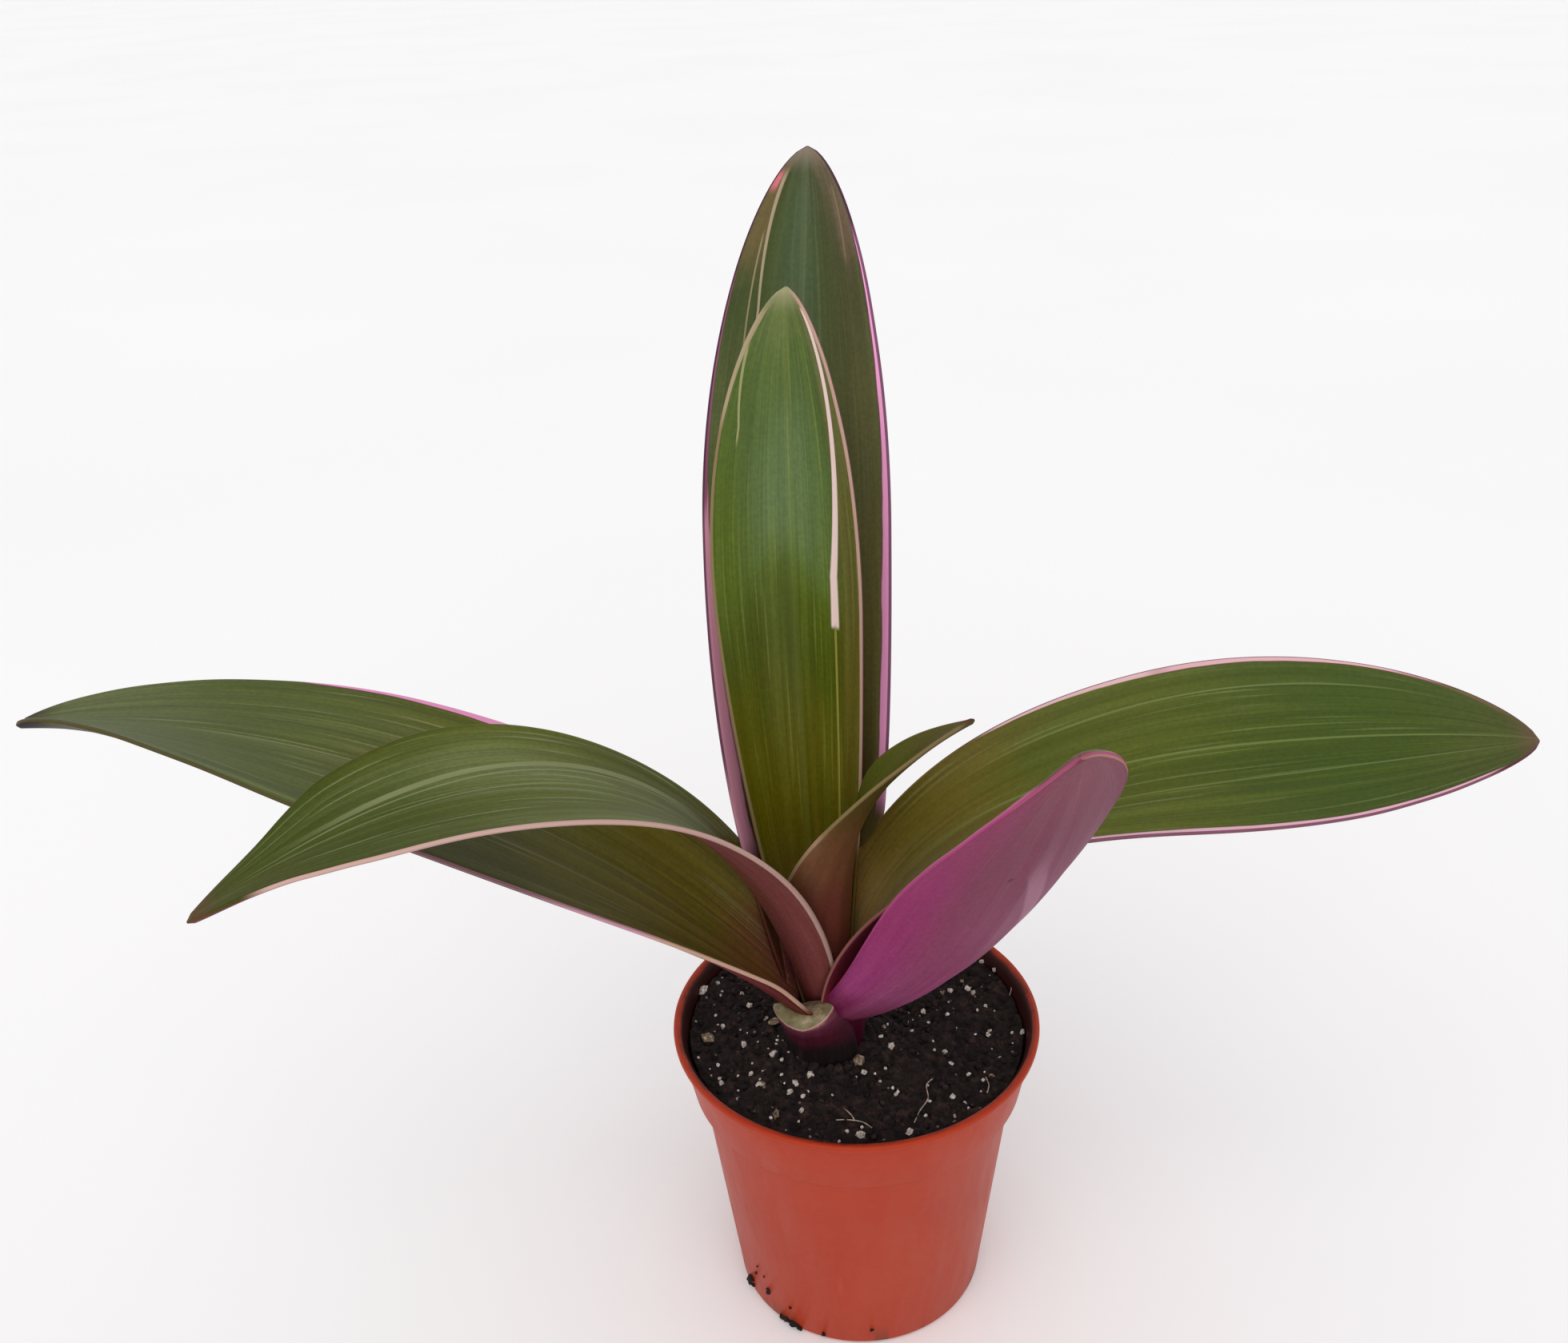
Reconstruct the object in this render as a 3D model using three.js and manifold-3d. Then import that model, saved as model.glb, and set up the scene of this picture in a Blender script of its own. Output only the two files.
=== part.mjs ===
// A young variegated oyster plant in a small moulded nursery pot.
// Millimetres, +Z up. The origin is the middle of the pot's flat foot, and the viewer stands at -Y.
import * as THREE from 'three';
import { mergeVertices } from 'three/addons/utils/BufferGeometryUtils.js';
import Module from 'manifold-3d';

const wasm = await Module();
wasm.setup();

// Clearance left between two pieces that touch on the real plant
const CLEARANCE = 0.3;

// Pot: a thin moulded cup, with a thin lip and a sloping band below it
const POT_HEIGHT = 62;
const LIP_RADIUS = 35;
const LIP_HEIGHT = 1.3;
const LIP_WIDTH = 1.4;
const BAND_HEIGHT = 12.5;
const BAND_TOP_RADIUS = 34;
const BAND_FOOT_RADIUS = 32;
const BODY_TOP_RADIUS = 30.2;
const FOOT_RADIUS = 24.8;
const WALL = 1.2;
const FLOOR = 1.6;
const STEP_DROP = 0.9;
const CORNER = 0.8;
const FILLET = 0.3;
const POT_SIDES = 56;
const DRAIN_HOLES = 6;
const DRAIN_RADIUS = 2.6;
const DRAIN_CIRCLE = 16;
const DRAIN_SIDES = 12;
const BAND_FOOT_Z = POT_HEIGHT - BAND_HEIGHT;
const LIP_FOOT_Z = POT_HEIGHT - LIP_HEIGHT;

// Soil: fills the pot to just below the rim
const SOIL_LEVEL = 59;
const SOIL_LUMP = 0.9;
const SOIL_MOUND = 4;
const MOUND_RADIUS = 15;
const SOIL_RINGS = 15;
const SOIL_SPOKES = 44;

// Stem: short and stout, off the middle of the pot, mostly hidden by the sheaths round it
const STEM_X = -5.6;
const STEM_Y = -6;
const STEM_SIDES = 20;
const STEM_PROFILE = [
  [2.4, 34],
  [4.2, 44],
  [5.0, 54],
  [5.0, 62.5],
  [4.2, 64.8],
  [2.7, 66.6],
  [1.7, 69],
  [0.9, 71],
];

// Leaves, from the innermost to the outermost. Each one leaves the stem at height base, and bends
// along its length through the angles listed from base to tip:
// azimuth is its heading in plan, rise its slope, roll its lean, and fold half the angle of its trough.
// sheath is how far its foot runs straight down the stem below base, and keel the depth of its crease.
// slim makes one side narrower near the foot: share of the width there, growing to all of it by the length to.
const LEAVES = [
  {
    name: 'leaf_young_rolled', base: 70, length: 73, width: [9, 31, 20, 5],
    azimuth: [-72, -26, 5], rise: [85, 88, 77, 19], roll: [-2, -11, 3], fold: [110, 76, 28, 31],
    slim: { side: 1, share: 0.86, from: 0.5, to: 0.7 },
    color: 0x5d6b2f,
  },
  {
    name: 'leaf_inner_upright', base: 68, length: 131, width: [13, 29, 31, 31],
    azimuth: [107, 96, 80], rise: [81, 84, 81, 84], roll: [-2, -20, -16], fold: [101, 53, 54, 33],
    color: 0x55812f,
  },
  {
    name: 'leaf_back_tall', base: 66, length: 157, width: [17, 46, 31, 35],
    azimuth: [100, 84, 80], rise: [83, 75, 73, 59], roll: [-2, -11, -8], fold: [96, 39, 28, 26],
    slim: { side: -1, share: 0.25, from: 0.16, to: 0.275 },
    color: 0x43572f,
  },
  {
    name: 'leaf_left_front', base: 69, length: 139, width: [12, 32, 49, 33],
    azimuth: [205, 223, 207], rise: [78, 68, 9, -25], roll: [-1, -6, 11], fold: [109, -28, 37, 5],
    color: 0x4f6b33,
  },
  {
    name: 'leaf_right_long', base: 64.5, length: 146, width: [17, 33, 46, 35],
    azimuth: [-1, -1, -2, -7], rise: [98, 47, -13, 15, -3], roll: [-12, 24, 26], fold: [87, 32, 13, 24],
    color: 0x4c7029,
  },
  {
    name: 'leaf_left_back', base: 72, sheath: 5, length: 146, width: [21, 45, 42, 37],
    azimuth: [195, 179, 182], rise: [55, 44, 21, -1], roll: [-23, -11, 17], fold: [103, 11, -24, 49],
    slim: { side: 1, share: 0.8, from: 0, to: 0.12 },
    color: 0x4a6030,
  },
  {
    name: 'leaf_front_right', base: 69, sheath: 10, length: 114, width: [16, 44, 43, 25],
    azimuth: [-40, -74, -93], rise: [38, 58, 65, 51], roll: [-19, 5, 29], fold: [77, 56, 32, 5],
    color: 0x7d3a70,
  },
];

// Every blade: thinner at its margins than down its middle, and narrowing over the last part to a tip
const BLADE_THICKNESS = 1.1;
const EDGE_THICKNESS = 0.7;
const TIP_TAPER = 0.42;
const TIP_BLUNTNESS = 0.65;
const TIP_HALF_WIDTH = 0.6;
const LEAF_ROWS = 32;
const LEAF_COLUMNS = 8;

// Stub: the thick foot of an old leaf that was cut away, outside all the others at the front left
const STUB = {
  base: 60.5, sheath: 2, length: 14.4, width: [20, 20, 17, 11.6],
  azimuth: [240, 237, 256], rise: [88, 88, 69], roll: [0, 4, 11], fold: [78, 75, 44], keel: 0.8,
};
const STUB_THICKNESS = 5.4;
const STUB_ROWS = 8;

const degrees = Math.PI / 180;
const stubColor = 0x6b3242;
const potColor = 0xb5482f;
const soilColor = 0x2a1c15;
const stemColor = 0x6d2b45;

function paint(color, roughness) {
  return new THREE.MeshStandardMaterial({ color, roughness, metalness: 0 });
}

function toSolid(geometry) {
  const bare = geometry.clone();
  bare.deleteAttribute('normal');
  bare.deleteAttribute('uv');
  const merged = mergeVertices(bare, 1e-4);
  return new wasm.Manifold(new wasm.Mesh({
    numProp: 3,
    vertProperties: new Float32Array(merged.attributes.position.array),
    triVerts: new Uint32Array(merged.index.array),
  }));
}

function toMesh(name, solid, color, roughness) {
  const raw = solid.getMesh();
  const geometry = new THREE.BufferGeometry();
  geometry.setAttribute('position', new THREE.BufferAttribute(new Float32Array(raw.vertProperties), 3));
  geometry.setIndex(new THREE.BufferAttribute(new Uint32Array(raw.triVerts), 1));
  geometry.computeVertexNormals();
  const mesh = new THREE.Mesh(geometry, paint(color, roughness));
  mesh.name = name;
  return mesh;
}

// The largest separate body of a solid that was cut
function largestBody(solid) {
  return solid.decompose().reduce((best, body) => (body.volume() > best.volume() ? body : best));
}

// A value that runs smoothly through a short list from base to tip, as a Bezier curve does
function along(values, t) {
  let row = values;
  while (row.length > 1) {
    row = row.slice(1).map((value, i) => row[i] + (value - row[i]) * t);
  }
  return row[0];
}

function tipShape(t) {
  const toTip = Math.min(1, (1 - t) / TIP_TAPER);
  return Math.sin(Math.PI / 2 * toTip ** TIP_BLUNTNESS);
}

// Direction, sideways and upward unit vectors of a leaf at t; its sheath, below 0, stands upright
function leafAxes(leaf, t) {
  const azimuth = along(leaf.azimuth, Math.max(0, t)) * degrees;
  const rise = t < 0 ? Math.PI / 2 : along(leaf.rise, t) * degrees;
  const roll = t < 0 ? 0 : along(leaf.roll, t) * degrees;
  const forward = new THREE.Vector3(
    Math.cos(rise) * Math.cos(azimuth), Math.cos(rise) * Math.sin(azimuth), Math.sin(rise));
  const side = new THREE.Vector3(-Math.sin(azimuth), Math.cos(azimuth), 0).applyAxisAngle(forward, roll);
  const up = new THREE.Vector3().crossVectors(forward, side);
  return { forward, side, up };
}

// Stations down the middle of a leaf, which starts on its sheath's circle round the stem
function leafStations(leaf, rows) {
  const sheathRadius = leaf.width[0] / 2 / (leaf.fold[0] * degrees);
  const heading = leaf.azimuth[0] * degrees;
  const point = new THREE.Vector3(
    STEM_X + sheathRadius * Math.cos(heading), STEM_Y + sheathRadius * Math.sin(heading), leaf.base);
  const stations = [];
  if (leaf.sheath) {
    const foot = point.clone();
    foot.z -= leaf.sheath;
    stations.push({ t: -1, point: foot });
  }
  stations.push({ t: 0, point: point.clone() });
  for (let i = 0; i < rows; i++) {
    const before = leafAxes(leaf, i / rows).forward;
    const after = leafAxes(leaf, (i + 1) / rows).forward;
    point.addScaledVector(before.add(after), leaf.length / rows / 2);
    stations.push({ t: (i + 1) / rows, point: point.clone() });
  }
  return stations;
}

// Share of its width that a blade has at t, on the side where across lies
function sideShare(leaf, t, across) {
  if (!leaf.slim || across * leaf.slim.side <= 0) return 1;
  const { share, from, to } = leaf.slim;
  return share + (1 - share) * THREE.MathUtils.smoothstep(t, from, to);
}

// A closed blade: a trough, thinner at its margins.
// grow swells it on every side, for cutting its room out of a neighbour.
function bladeGeometry(leaf, { rows = LEAF_ROWS, thickness = () => BLADE_THICKNESS, tapered = true, grow }) {
  const columns = LEAF_COLUMNS;
  const keel = leaf.keel ?? 0;
  const stations = leafStations(leaf, rows);
  const upper = [];
  const lower = [];
  stations.forEach(({ t: station, point }, i) => {
    const t = Math.max(0, station);
    const { forward, side, up } = leafAxes(leaf, station);
    const taper = tapered ? tipShape(t) : 1;
    const halfWidth = Math.max(along(leaf.width, t) / 2 * taper, TIP_HALF_WIDTH);
    const halfFold = along(leaf.fold, t) * degrees;
    const radius = halfWidth / halfFold;
    const centre = point.clone();
    if (i === 0) centre.addScaledVector(forward, -grow);
    if (i === stations.length - 1) centre.addScaledVector(forward, grow);
    for (let j = 0; j <= columns; j++) {
      const across = (j / columns) * 2 - 1;
      const angle = across * sideShare(leaf, t, across) * halfFold * (1 + grow / halfWidth);
      const middle = centre.clone()
        .addScaledVector(side, radius * Math.sin(angle))
        .addScaledVector(up, radius * (1 - Math.cos(angle)) - keel * (1 - Math.abs(across)) ** 2);
      const inward = up.clone().multiplyScalar(Math.cos(angle)).addScaledVector(side, -Math.sin(angle));
      const full = thickness(t);
      const thick = full + (Math.min(full, EDGE_THICKNESS) - full) * across ** 2;
      upper.push(middle.clone().addScaledVector(inward, thick / 2 + grow));
      lower.push(middle.clone().addScaledVector(inward, -thick / 2 - grow));
    }
  });
  const points = [...upper, ...lower];
  const across = columns + 1;
  const under = upper.length;
  const last = under - across;
  const faces = [];
  const quad = (a, b, c, d) => faces.push(a, b, c, a, c, d);
  for (let row = 0; row < last; row += across) {
    for (let a = row; a < row + columns; a++) {
      quad(a, a + across, a + across + 1, a + 1);
      faces.push(under + a, under + a + across + 1, under + a + across);
      faces.push(under + a, under + a + 1, under + a + across + 1);
    }
    const right = row + columns;
    quad(under + row, under + row + across, row + across, row);
    quad(right, right + across, under + right + across, under + right);
  }
  for (let j = 0; j < columns; j++) {
    quad(j, j + 1, under + j + 1, under + j);
    quad(last + j + 1, last + j, under + last + j, under + last + j + 1);
  }
  const geometry = new THREE.BufferGeometry();
  const flat = points.flatMap((point) => [point.x, point.y, point.z]);
  geometry.setAttribute('position', new THREE.Float32BufferAttribute(flat, 3));
  geometry.setIndex(faces);
  return geometry;
}

function bladeSolid(leaf, options) {
  return toSolid(bladeGeometry(leaf, options));
}

// The moulded pot, with drain holes in its floor clear of the middle
function makePot() {
  const profile = [
    [0, 0],
    [FOOT_RADIUS - CORNER, 0],
    [FOOT_RADIUS, CORNER],
    [BODY_TOP_RADIUS, BAND_FOOT_Z - STEP_DROP],
    [BAND_FOOT_RADIUS, BAND_FOOT_Z],
    [BAND_TOP_RADIUS, LIP_FOOT_Z - FILLET],
    [LIP_RADIUS - FILLET, LIP_FOOT_Z],
    [LIP_RADIUS, LIP_FOOT_Z + FILLET],
    [LIP_RADIUS, POT_HEIGHT - FILLET],
    [LIP_RADIUS - FILLET, POT_HEIGHT],
    [LIP_RADIUS - LIP_WIDTH + FILLET, POT_HEIGHT],
    [LIP_RADIUS - LIP_WIDTH, POT_HEIGHT - FILLET],
    [BAND_TOP_RADIUS - WALL, LIP_FOOT_Z - FILLET],
    [BAND_FOOT_RADIUS - WALL, BAND_FOOT_Z],
    [BODY_TOP_RADIUS - WALL, BAND_FOOT_Z - STEP_DROP],
    [FOOT_RADIUS - WALL, FLOOR],
    [0, FLOOR],
  ].map(([radius, z]) => new THREE.Vector2(radius, z));
  const cup = new THREE.LatheGeometry(profile, POT_SIDES);
  cup.rotateX(Math.PI / 2);
  let solid = toSolid(cup);
  for (let i = 0; i < DRAIN_HOLES; i++) {
    const turn = (i + 0.5) / DRAIN_HOLES * 2 * Math.PI;
    const drill = new THREE.CylinderGeometry(DRAIN_RADIUS, DRAIN_RADIUS, FLOOR * 4, DRAIN_SIDES);
    drill.rotateX(Math.PI / 2);
    drill.translate(DRAIN_CIRCLE * Math.cos(turn), DRAIN_CIRCLE * Math.sin(turn), 0);
    solid = solid.subtract(toSolid(drill));
  }
  return solid;
}

// Height of the soil above its level: it is heaped round the stem, with lumps laid over that
function soilRelief(x, y) {
  const broad = Math.sin(x * 0.31 + 1.3) * Math.cos(y * 0.27 - 0.6);
  const lumps = Math.sin(x * 0.93 + y * 0.41 + 2) * Math.sin(y * 1.07 - x * 0.36 + 0.7);
  const crumbs = Math.sin(x * 2.1 - y * 1.3) * Math.sin(y * 2.4 + x * 1.1 + 1);
  const fromStem = Math.hypot(x - STEM_X, y - STEM_Y);
  const mound = SOIL_MOUND * Math.exp(-((fromStem / MOUND_RADIUS) ** 2));
  return mound + SOIL_LUMP * (0.35 * broad + 0.4 * lumps + 0.25 * crumbs);
}

// Outermost radius of the soil beside a height on the pot's wall, a clearance inside it
function beside(radius) {
  return radius - WALL - 1.5 * CLEARANCE;
}

function makeSoil() {
  const bottomZ = FLOOR + CLEARANCE;
  const upBand = (SOIL_LEVEL - BAND_FOOT_Z) / (LIP_FOOT_Z - BAND_FOOT_Z);
  const topRadius = beside(BAND_FOOT_RADIUS + (BAND_TOP_RADIUS - BAND_FOOT_RADIUS) * upBand);
  const sides = [
    [beside(BAND_FOOT_RADIUS), BAND_FOOT_Z + FILLET],
    [beside(BODY_TOP_RADIUS), BAND_FOOT_Z - STEP_DROP],
    [beside(FOOT_RADIUS), bottomZ],
  ];
  const points = [[0, 0, SOIL_LEVEL + soilRelief(0, 0)]];
  const addRing = (radius, heightAt) => {
    for (let k = 0; k < SOIL_SPOKES; k++) {
      const turn = k / SOIL_SPOKES * 2 * Math.PI;
      const x = radius * Math.cos(turn);
      const y = radius * Math.sin(turn);
      points.push([x, y, heightAt(x, y)]);
    }
  };
  for (let ring = 1; ring <= SOIL_RINGS; ring++) {
    addRing(topRadius * ring / SOIL_RINGS, (x, y) => SOIL_LEVEL + soilRelief(x, y));
  }
  for (const [radius, z] of sides) addRing(radius, () => z);
  points.push([0, 0, bottomZ]);
  const faces = [];
  const rings = SOIL_RINGS + sides.length;
  const at = (ring, k) => 1 + (ring - 1) * SOIL_SPOKES + (k % SOIL_SPOKES);
  for (let k = 0; k < SOIL_SPOKES; k++) {
    faces.push(0, at(1, k), at(1, k + 1));
    for (let ring = 1; ring < rings; ring++) {
      faces.push(at(ring, k), at(ring + 1, k), at(ring + 1, k + 1));
      faces.push(at(ring, k), at(ring + 1, k + 1), at(ring, k + 1));
    }
    faces.push(at(rings, k), points.length - 1, at(rings, k + 1));
  }
  const geometry = new THREE.BufferGeometry();
  geometry.setAttribute('position', new THREE.Float32BufferAttribute(points.flat(), 3));
  geometry.setIndex(faces);
  return toSolid(geometry);
}

// The stem's solid, or with grow the hole that it stands in
function makeStem(grow = 0) {
  const lowest = STEM_PROFILE[0][1] - grow;
  const highest = STEM_PROFILE[STEM_PROFILE.length - 1][1] + grow;
  const profile = [
    [0, lowest],
    ...STEM_PROFILE.map(([radius, z], i) => [radius + grow, i === 0 ? lowest : z]),
    [0, highest],
  ].map(([radius, z]) => new THREE.Vector2(radius, z));
  const lathe = new THREE.LatheGeometry(profile, STEM_SIDES);
  lathe.rotateX(Math.PI / 2);
  lathe.translate(STEM_X, STEM_Y, 0);
  return toSolid(lathe);
}

const model = new THREE.Group();
const stem = makeStem();
const stemRoom = makeStem(CLEARANCE);

// The stub is as it was cut, and each leaf gives way to the stem, the stub and the leaves inside it
const stubOptions = (grow) => ({
  rows: STUB_ROWS, tapered: false, grow,
  thickness: (t) => BLADE_THICKNESS + (STUB_THICKNESS - BLADE_THICKNESS) * t ** 2,
});
const stub = bladeSolid(STUB, stubOptions(0)).subtract(stemRoom);
let room = stemRoom.add(bladeSolid(STUB, stubOptions(CLEARANCE)));
for (const leaf of LEAVES) {
  const solid = largestBody(bladeSolid(leaf, { grow: 0 }).subtract(room));
  model.add(toMesh(leaf.name, solid, leaf.color, 0.5));
  room = room.add(bladeSolid(leaf, { grow: CLEARANCE }));
}
model.add(toMesh('old_leaf_stub', stub, stubColor, 0.6));

const soil = largestBody(makeSoil().subtract(room));
model.add(toMesh('soil', soil, soilColor, 1));
model.add(toMesh('stem', stem, stemColor, 0.6));
model.add(toMesh('pot', makePot(), potColor, 0.45));

export default model;
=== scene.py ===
import bmesh
import bpy
import random
from math import cos, exp, pi, radians, sin, sqrt
from mathutils import Matrix, Quaternion, Vector, noise


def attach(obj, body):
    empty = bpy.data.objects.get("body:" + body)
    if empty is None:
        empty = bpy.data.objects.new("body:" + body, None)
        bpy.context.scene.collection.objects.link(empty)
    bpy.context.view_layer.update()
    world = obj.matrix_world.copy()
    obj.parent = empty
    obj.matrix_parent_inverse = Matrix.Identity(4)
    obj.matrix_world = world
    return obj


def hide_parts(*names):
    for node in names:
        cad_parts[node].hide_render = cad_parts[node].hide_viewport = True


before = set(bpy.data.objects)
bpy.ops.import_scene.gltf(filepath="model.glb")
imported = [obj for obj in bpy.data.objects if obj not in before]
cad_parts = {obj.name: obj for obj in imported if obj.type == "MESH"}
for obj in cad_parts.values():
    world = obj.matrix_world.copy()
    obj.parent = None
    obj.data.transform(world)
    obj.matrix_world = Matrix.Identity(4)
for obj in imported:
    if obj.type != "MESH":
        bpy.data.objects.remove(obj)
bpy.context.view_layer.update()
mm = 0.001
weld = 1e-6
print("frame loaded:", len(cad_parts), "solids")


def addObject(name, data):
    thing = bpy.data.objects.new(name, data)
    bpy.context.scene.collection.objects.link(thing)
    return thing


def toData(mesh, name):
    # a bmesh as mesh data
    data = bpy.data.meshes.new(name)
    mesh.to_mesh(data)
    mesh.free()
    return data


def only(kind, items):
    return [item for item in items if isinstance(item, kind)]


# camera, at the height and tilt of the photograph
photo = {
    "width": 1960,
    "height": 1679,
    "focal": 1850,
}
camera = {
    "place": (-11.0, -223.1, 250.9),
    "tilt": 27.15,
    "turn": -2.37,
    "sensor": 36,
    "clip": 0.01,
}


def cameraAxes():
    tilt = radians(camera["tilt"])
    forward = Vector((0, cos(tilt), -sin(tilt)))
    right = Vector((1, 0, 0))
    right.rotate(Quaternion(forward, -radians(camera["turn"])))
    return right, right.cross(forward), forward


right, up, forward = cameraAxes()
lens = bpy.data.cameras.new("camera")
lens.sensor_width = camera["sensor"]
lens.lens = camera["sensor"] * photo["focal"] / photo["width"]
lens.clip_start = camera["clip"]
eyePlace = Vector(camera["place"]) * mm
eye = addObject("camera", lens)
eye.matrix_world = Matrix.Translation(eyePlace) @ Matrix((right, up, -forward)).transposed().to_4x4()
bpy.context.scene.camera = eye


def sightLine(spot):
    # the direction from the camera through a spot of the photograph
    x = spot[0] - photo["width"] / 2
    y = photo["height"] / 2 - spot[1]
    return (forward * photo["focal"] + right * x + up * y).normalized()


def srgb(red, green, blue):
    # a screen colour of 0 to 255, as the shader's linear one
    parts = []
    for part in (red, green, blue):
        part = part / 255
        parts.append(part / 12.92 if part <= 0.04045 else ((part + 0.055) / 1.055) ** 2.4)
    return (*parts, 1)


def pigment(colour, gloss=0.02, darkest=0.002):
    # a leaf colour as it looks, less the pale light that its gloss adds
    return (*(max(darkest, part - gloss) for part in srgb(*colour)[:3]), 1)


# small helpers for shader trees
class Shader:
    def __init__(self, name, rough=0.5, specular=0.5):
        self.material = bpy.data.materials.new(name)
        self.material.use_nodes = True
        self.tree = self.material.node_tree
        self.surface = self.tree.nodes["Principled BSDF"]
        self.surface.inputs["Roughness"].default_value = rough
        self.surface.inputs["Specular IOR Level"].default_value = specular

    def join(self, value, socket):
        if isinstance(value, bpy.types.NodeSocket):
            self.tree.links.new(value, socket)
        else:
            socket.default_value = value

    def add(self, kind, inputs, **settings):
        # a new node with its settings, and a value or a link for each input
        node = self.tree.nodes.new(kind)
        for name, value in settings.items():
            setattr(node, name, value)
        for name, value in inputs.items():
            self.join(value, node.inputs[name])
        return node

    def math(self, operation, first, second=0.0, third=0.0):
        inputs = {0: first, 1: second, 2: third}
        return self.add("ShaderNodeMath", inputs, operation=operation).outputs[0]

    def times(self, first, *others):
        for other in others:
            first = self.math("MULTIPLY", first, other)
        return first

    def spread(self, value, low, high, first=0.0, last=1.0, kind="SMOOTHSTEP"):
        # value from low..high, as first..last
        inputs = {"Value": value, "From Min": low, "From Max": high, "To Min": first, "To Max": last}
        return self.add("ShaderNodeMapRange", inputs, interpolation_type=kind).outputs["Result"]

    def between(self, value, reach, soft, softEnd=None):
        # one mask that opens at the start of a reach, and one that shuts at its end
        start, end = reach
        softEnd = softEnd or soft
        opens = self.spread(value, start - soft, start + soft)
        shuts = self.spread(value, end - softEnd, end + softEnd, 1.0, 0.0)
        return opens, shuts

    def blend(self, share, base, top, kind="MIX"):
        inputs = {"Factor": share, 6: base, 7: top}
        return self.add("ShaderNodeMix", inputs, data_type="RGBA", blend_type=kind).outputs[2]

    def tint(self, colour):
        return srgb(*colour)

    def cover(self, mask, colour):
        # another colour over the paint so far, where the mask is open
        self.paint = self.blend(mask, self.paint, self.tint(colour))

    def ramp(self, share, stops):
        node = self.add("ShaderNodeValToRGB", {"Fac": share})
        node.color_ramp.interpolation = "EASE"
        points = node.color_ramp.elements
        while len(points) < len(stops):
            points.new(0.5)
        for point, (place, colour) in zip(points, stops):
            point.position = place
            point.color = self.tint(colour)
        return node.outputs["Color"]

    def place(self):
        # where a spot lies, in the object's own space
        return self.add("ShaderNodeTexCoord", {}).outputs["Object"]

    def measure(self, name):
        return self.add("ShaderNodeAttribute", {}, attribute_name=name).outputs["Fac"]

    def axes(self, vector):
        return self.add("ShaderNodeSeparateXYZ", {0: vector}).outputs

    def stretch(self, vector, scale, shift=(0, 0, 0)):
        inputs = {"Vector": vector, "Scale": scale, "Location": shift}
        return self.add("ShaderNodeMapping", inputs).outputs["Vector"]

    def grain(self, vector, scale=1.0, detail=2.0, rough=0.5):
        inputs = {"Vector": vector, "Scale": scale, "Detail": detail, "Roughness": rough}
        return self.add("ShaderNodeTexNoise", inputs).outputs["Fac"]

    def cells(self, vector, scale):
        return self.add("ShaderNodeTexVoronoi", {"Vector": vector, "Scale": scale}).outputs

    def roughness(self, value):
        self.join(value, self.surface.inputs["Roughness"])

    def done(self, height, depth, strength=1.0):
        # puts the paint and a relief on the surface
        inputs = {"Height": height, "Distance": depth, "Strength": strength}
        bump = self.add("ShaderNodeBump", inputs)
        self.join(bump.outputs["Normal"], self.surface.inputs["Normal"])
        self.join(self.paint, self.surface.inputs["Base Color"])
        return self.material


def finish(mesh, name, materials, smooth=True, nodes=()):
    # turns a bmesh into a piece that rides on the object
    bmesh.ops.recalc_face_normals(mesh, faces=mesh.faces)
    data = toData(mesh, name)
    for material in materials:
        data.materials.append(material)
    if smooth:
        data.shade_smooth()
    piece = addObject(name, data)
    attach(piece, "root")
    if nodes:
        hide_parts(*nodes)
    return piece


def subtract(piece, tool):
    # cuts one mesh away from a piece, for good
    cutter = addObject(tool.name, tool)
    change = piece.modifiers.new("cut", "BOOLEAN")
    change.operation = "DIFFERENCE"
    change.solver = "EXACT"
    change.object = cutter
    bpy.context.view_layer.update()
    graph = bpy.context.evaluated_depsgraph_get()
    whole = piece.evaluated_get(graph)
    made = bpy.data.meshes.new_from_object(whole, preserve_all_data_layers=True, depsgraph=graph)
    piece.modifiers.clear()
    bpy.data.objects.remove(cutter)
    old = piece.data
    piece.data = made
    bpy.data.meshes.remove(old)
    made.shade_smooth()
    return made


def turned(profile, sides, x=0, y=0):
    # a round shape from radii and heights, about an upright line
    mesh = bmesh.new()
    rung = [mesh.verts.new((x + radius * mm, y, height * mm)) for radius, height in profile]
    line = [mesh.edges.new(pair) for pair in zip(rung, rung[1:])]
    bmesh.ops.spin(
        mesh, geom=rung + line, cent=(x, y, 0), axis=(0, 0, 1), angle=2 * pi, steps=sides, use_merge=True,
    )
    bmesh.ops.remove_doubles(mesh, verts=mesh.verts, dist=weld)
    return mesh


# the stem's core, which the blades stand round
stem = {
    "x": -5.6,
    "y": -6.0,
    "profile": [(2.4, 34), (4.2, 44), (5, 54), (5, 62.5), (4.2, 64.8), (2.7, 66.6), (1.7, 69), (0.9, 70.8)],
    "sides": 40,
}
# the blades: each is given as in the solids, in mm and degrees, from the foot to the tip
blade = {
    "rows": 150,
    "columns": 36,
    "thickness": 1.1,
    "edge": 0.7,
    "taper": 0.42,
    "bluntness": 0.65,
    "pointed": (0.82, 0.95),  # where a more pointed tip grows narrow
    "tip": 0.22,              # half the width that is left at the tip
    "rimGaps": (0, 0.06, 0.18, 0.36),
    "rimPinch": 0.25,         # share of the thickness that is left at the very edge
    "ribs": 0.05,
    "ribSpacing": 4.6,
    "midribGroove": 0.2,
    "midribWidth": 1.1,
    "calmFoot": 6,            # how fast the ribs rise from the foot and sink to the tip
    "calmTip": 4,
}


def along(values, share):
    # a smooth run of values, from the first to the last
    values = [float(value) for value in values]
    while len(values) > 1:
        values = [first + (second - first) * share for first, second in zip(values, values[1:])]
    return values[0]


def easeIn(value, low, high):
    rise = min(1, max(0, (value - low) / (high - low)))
    return rise * rise * (3 - 2 * rise)


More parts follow.
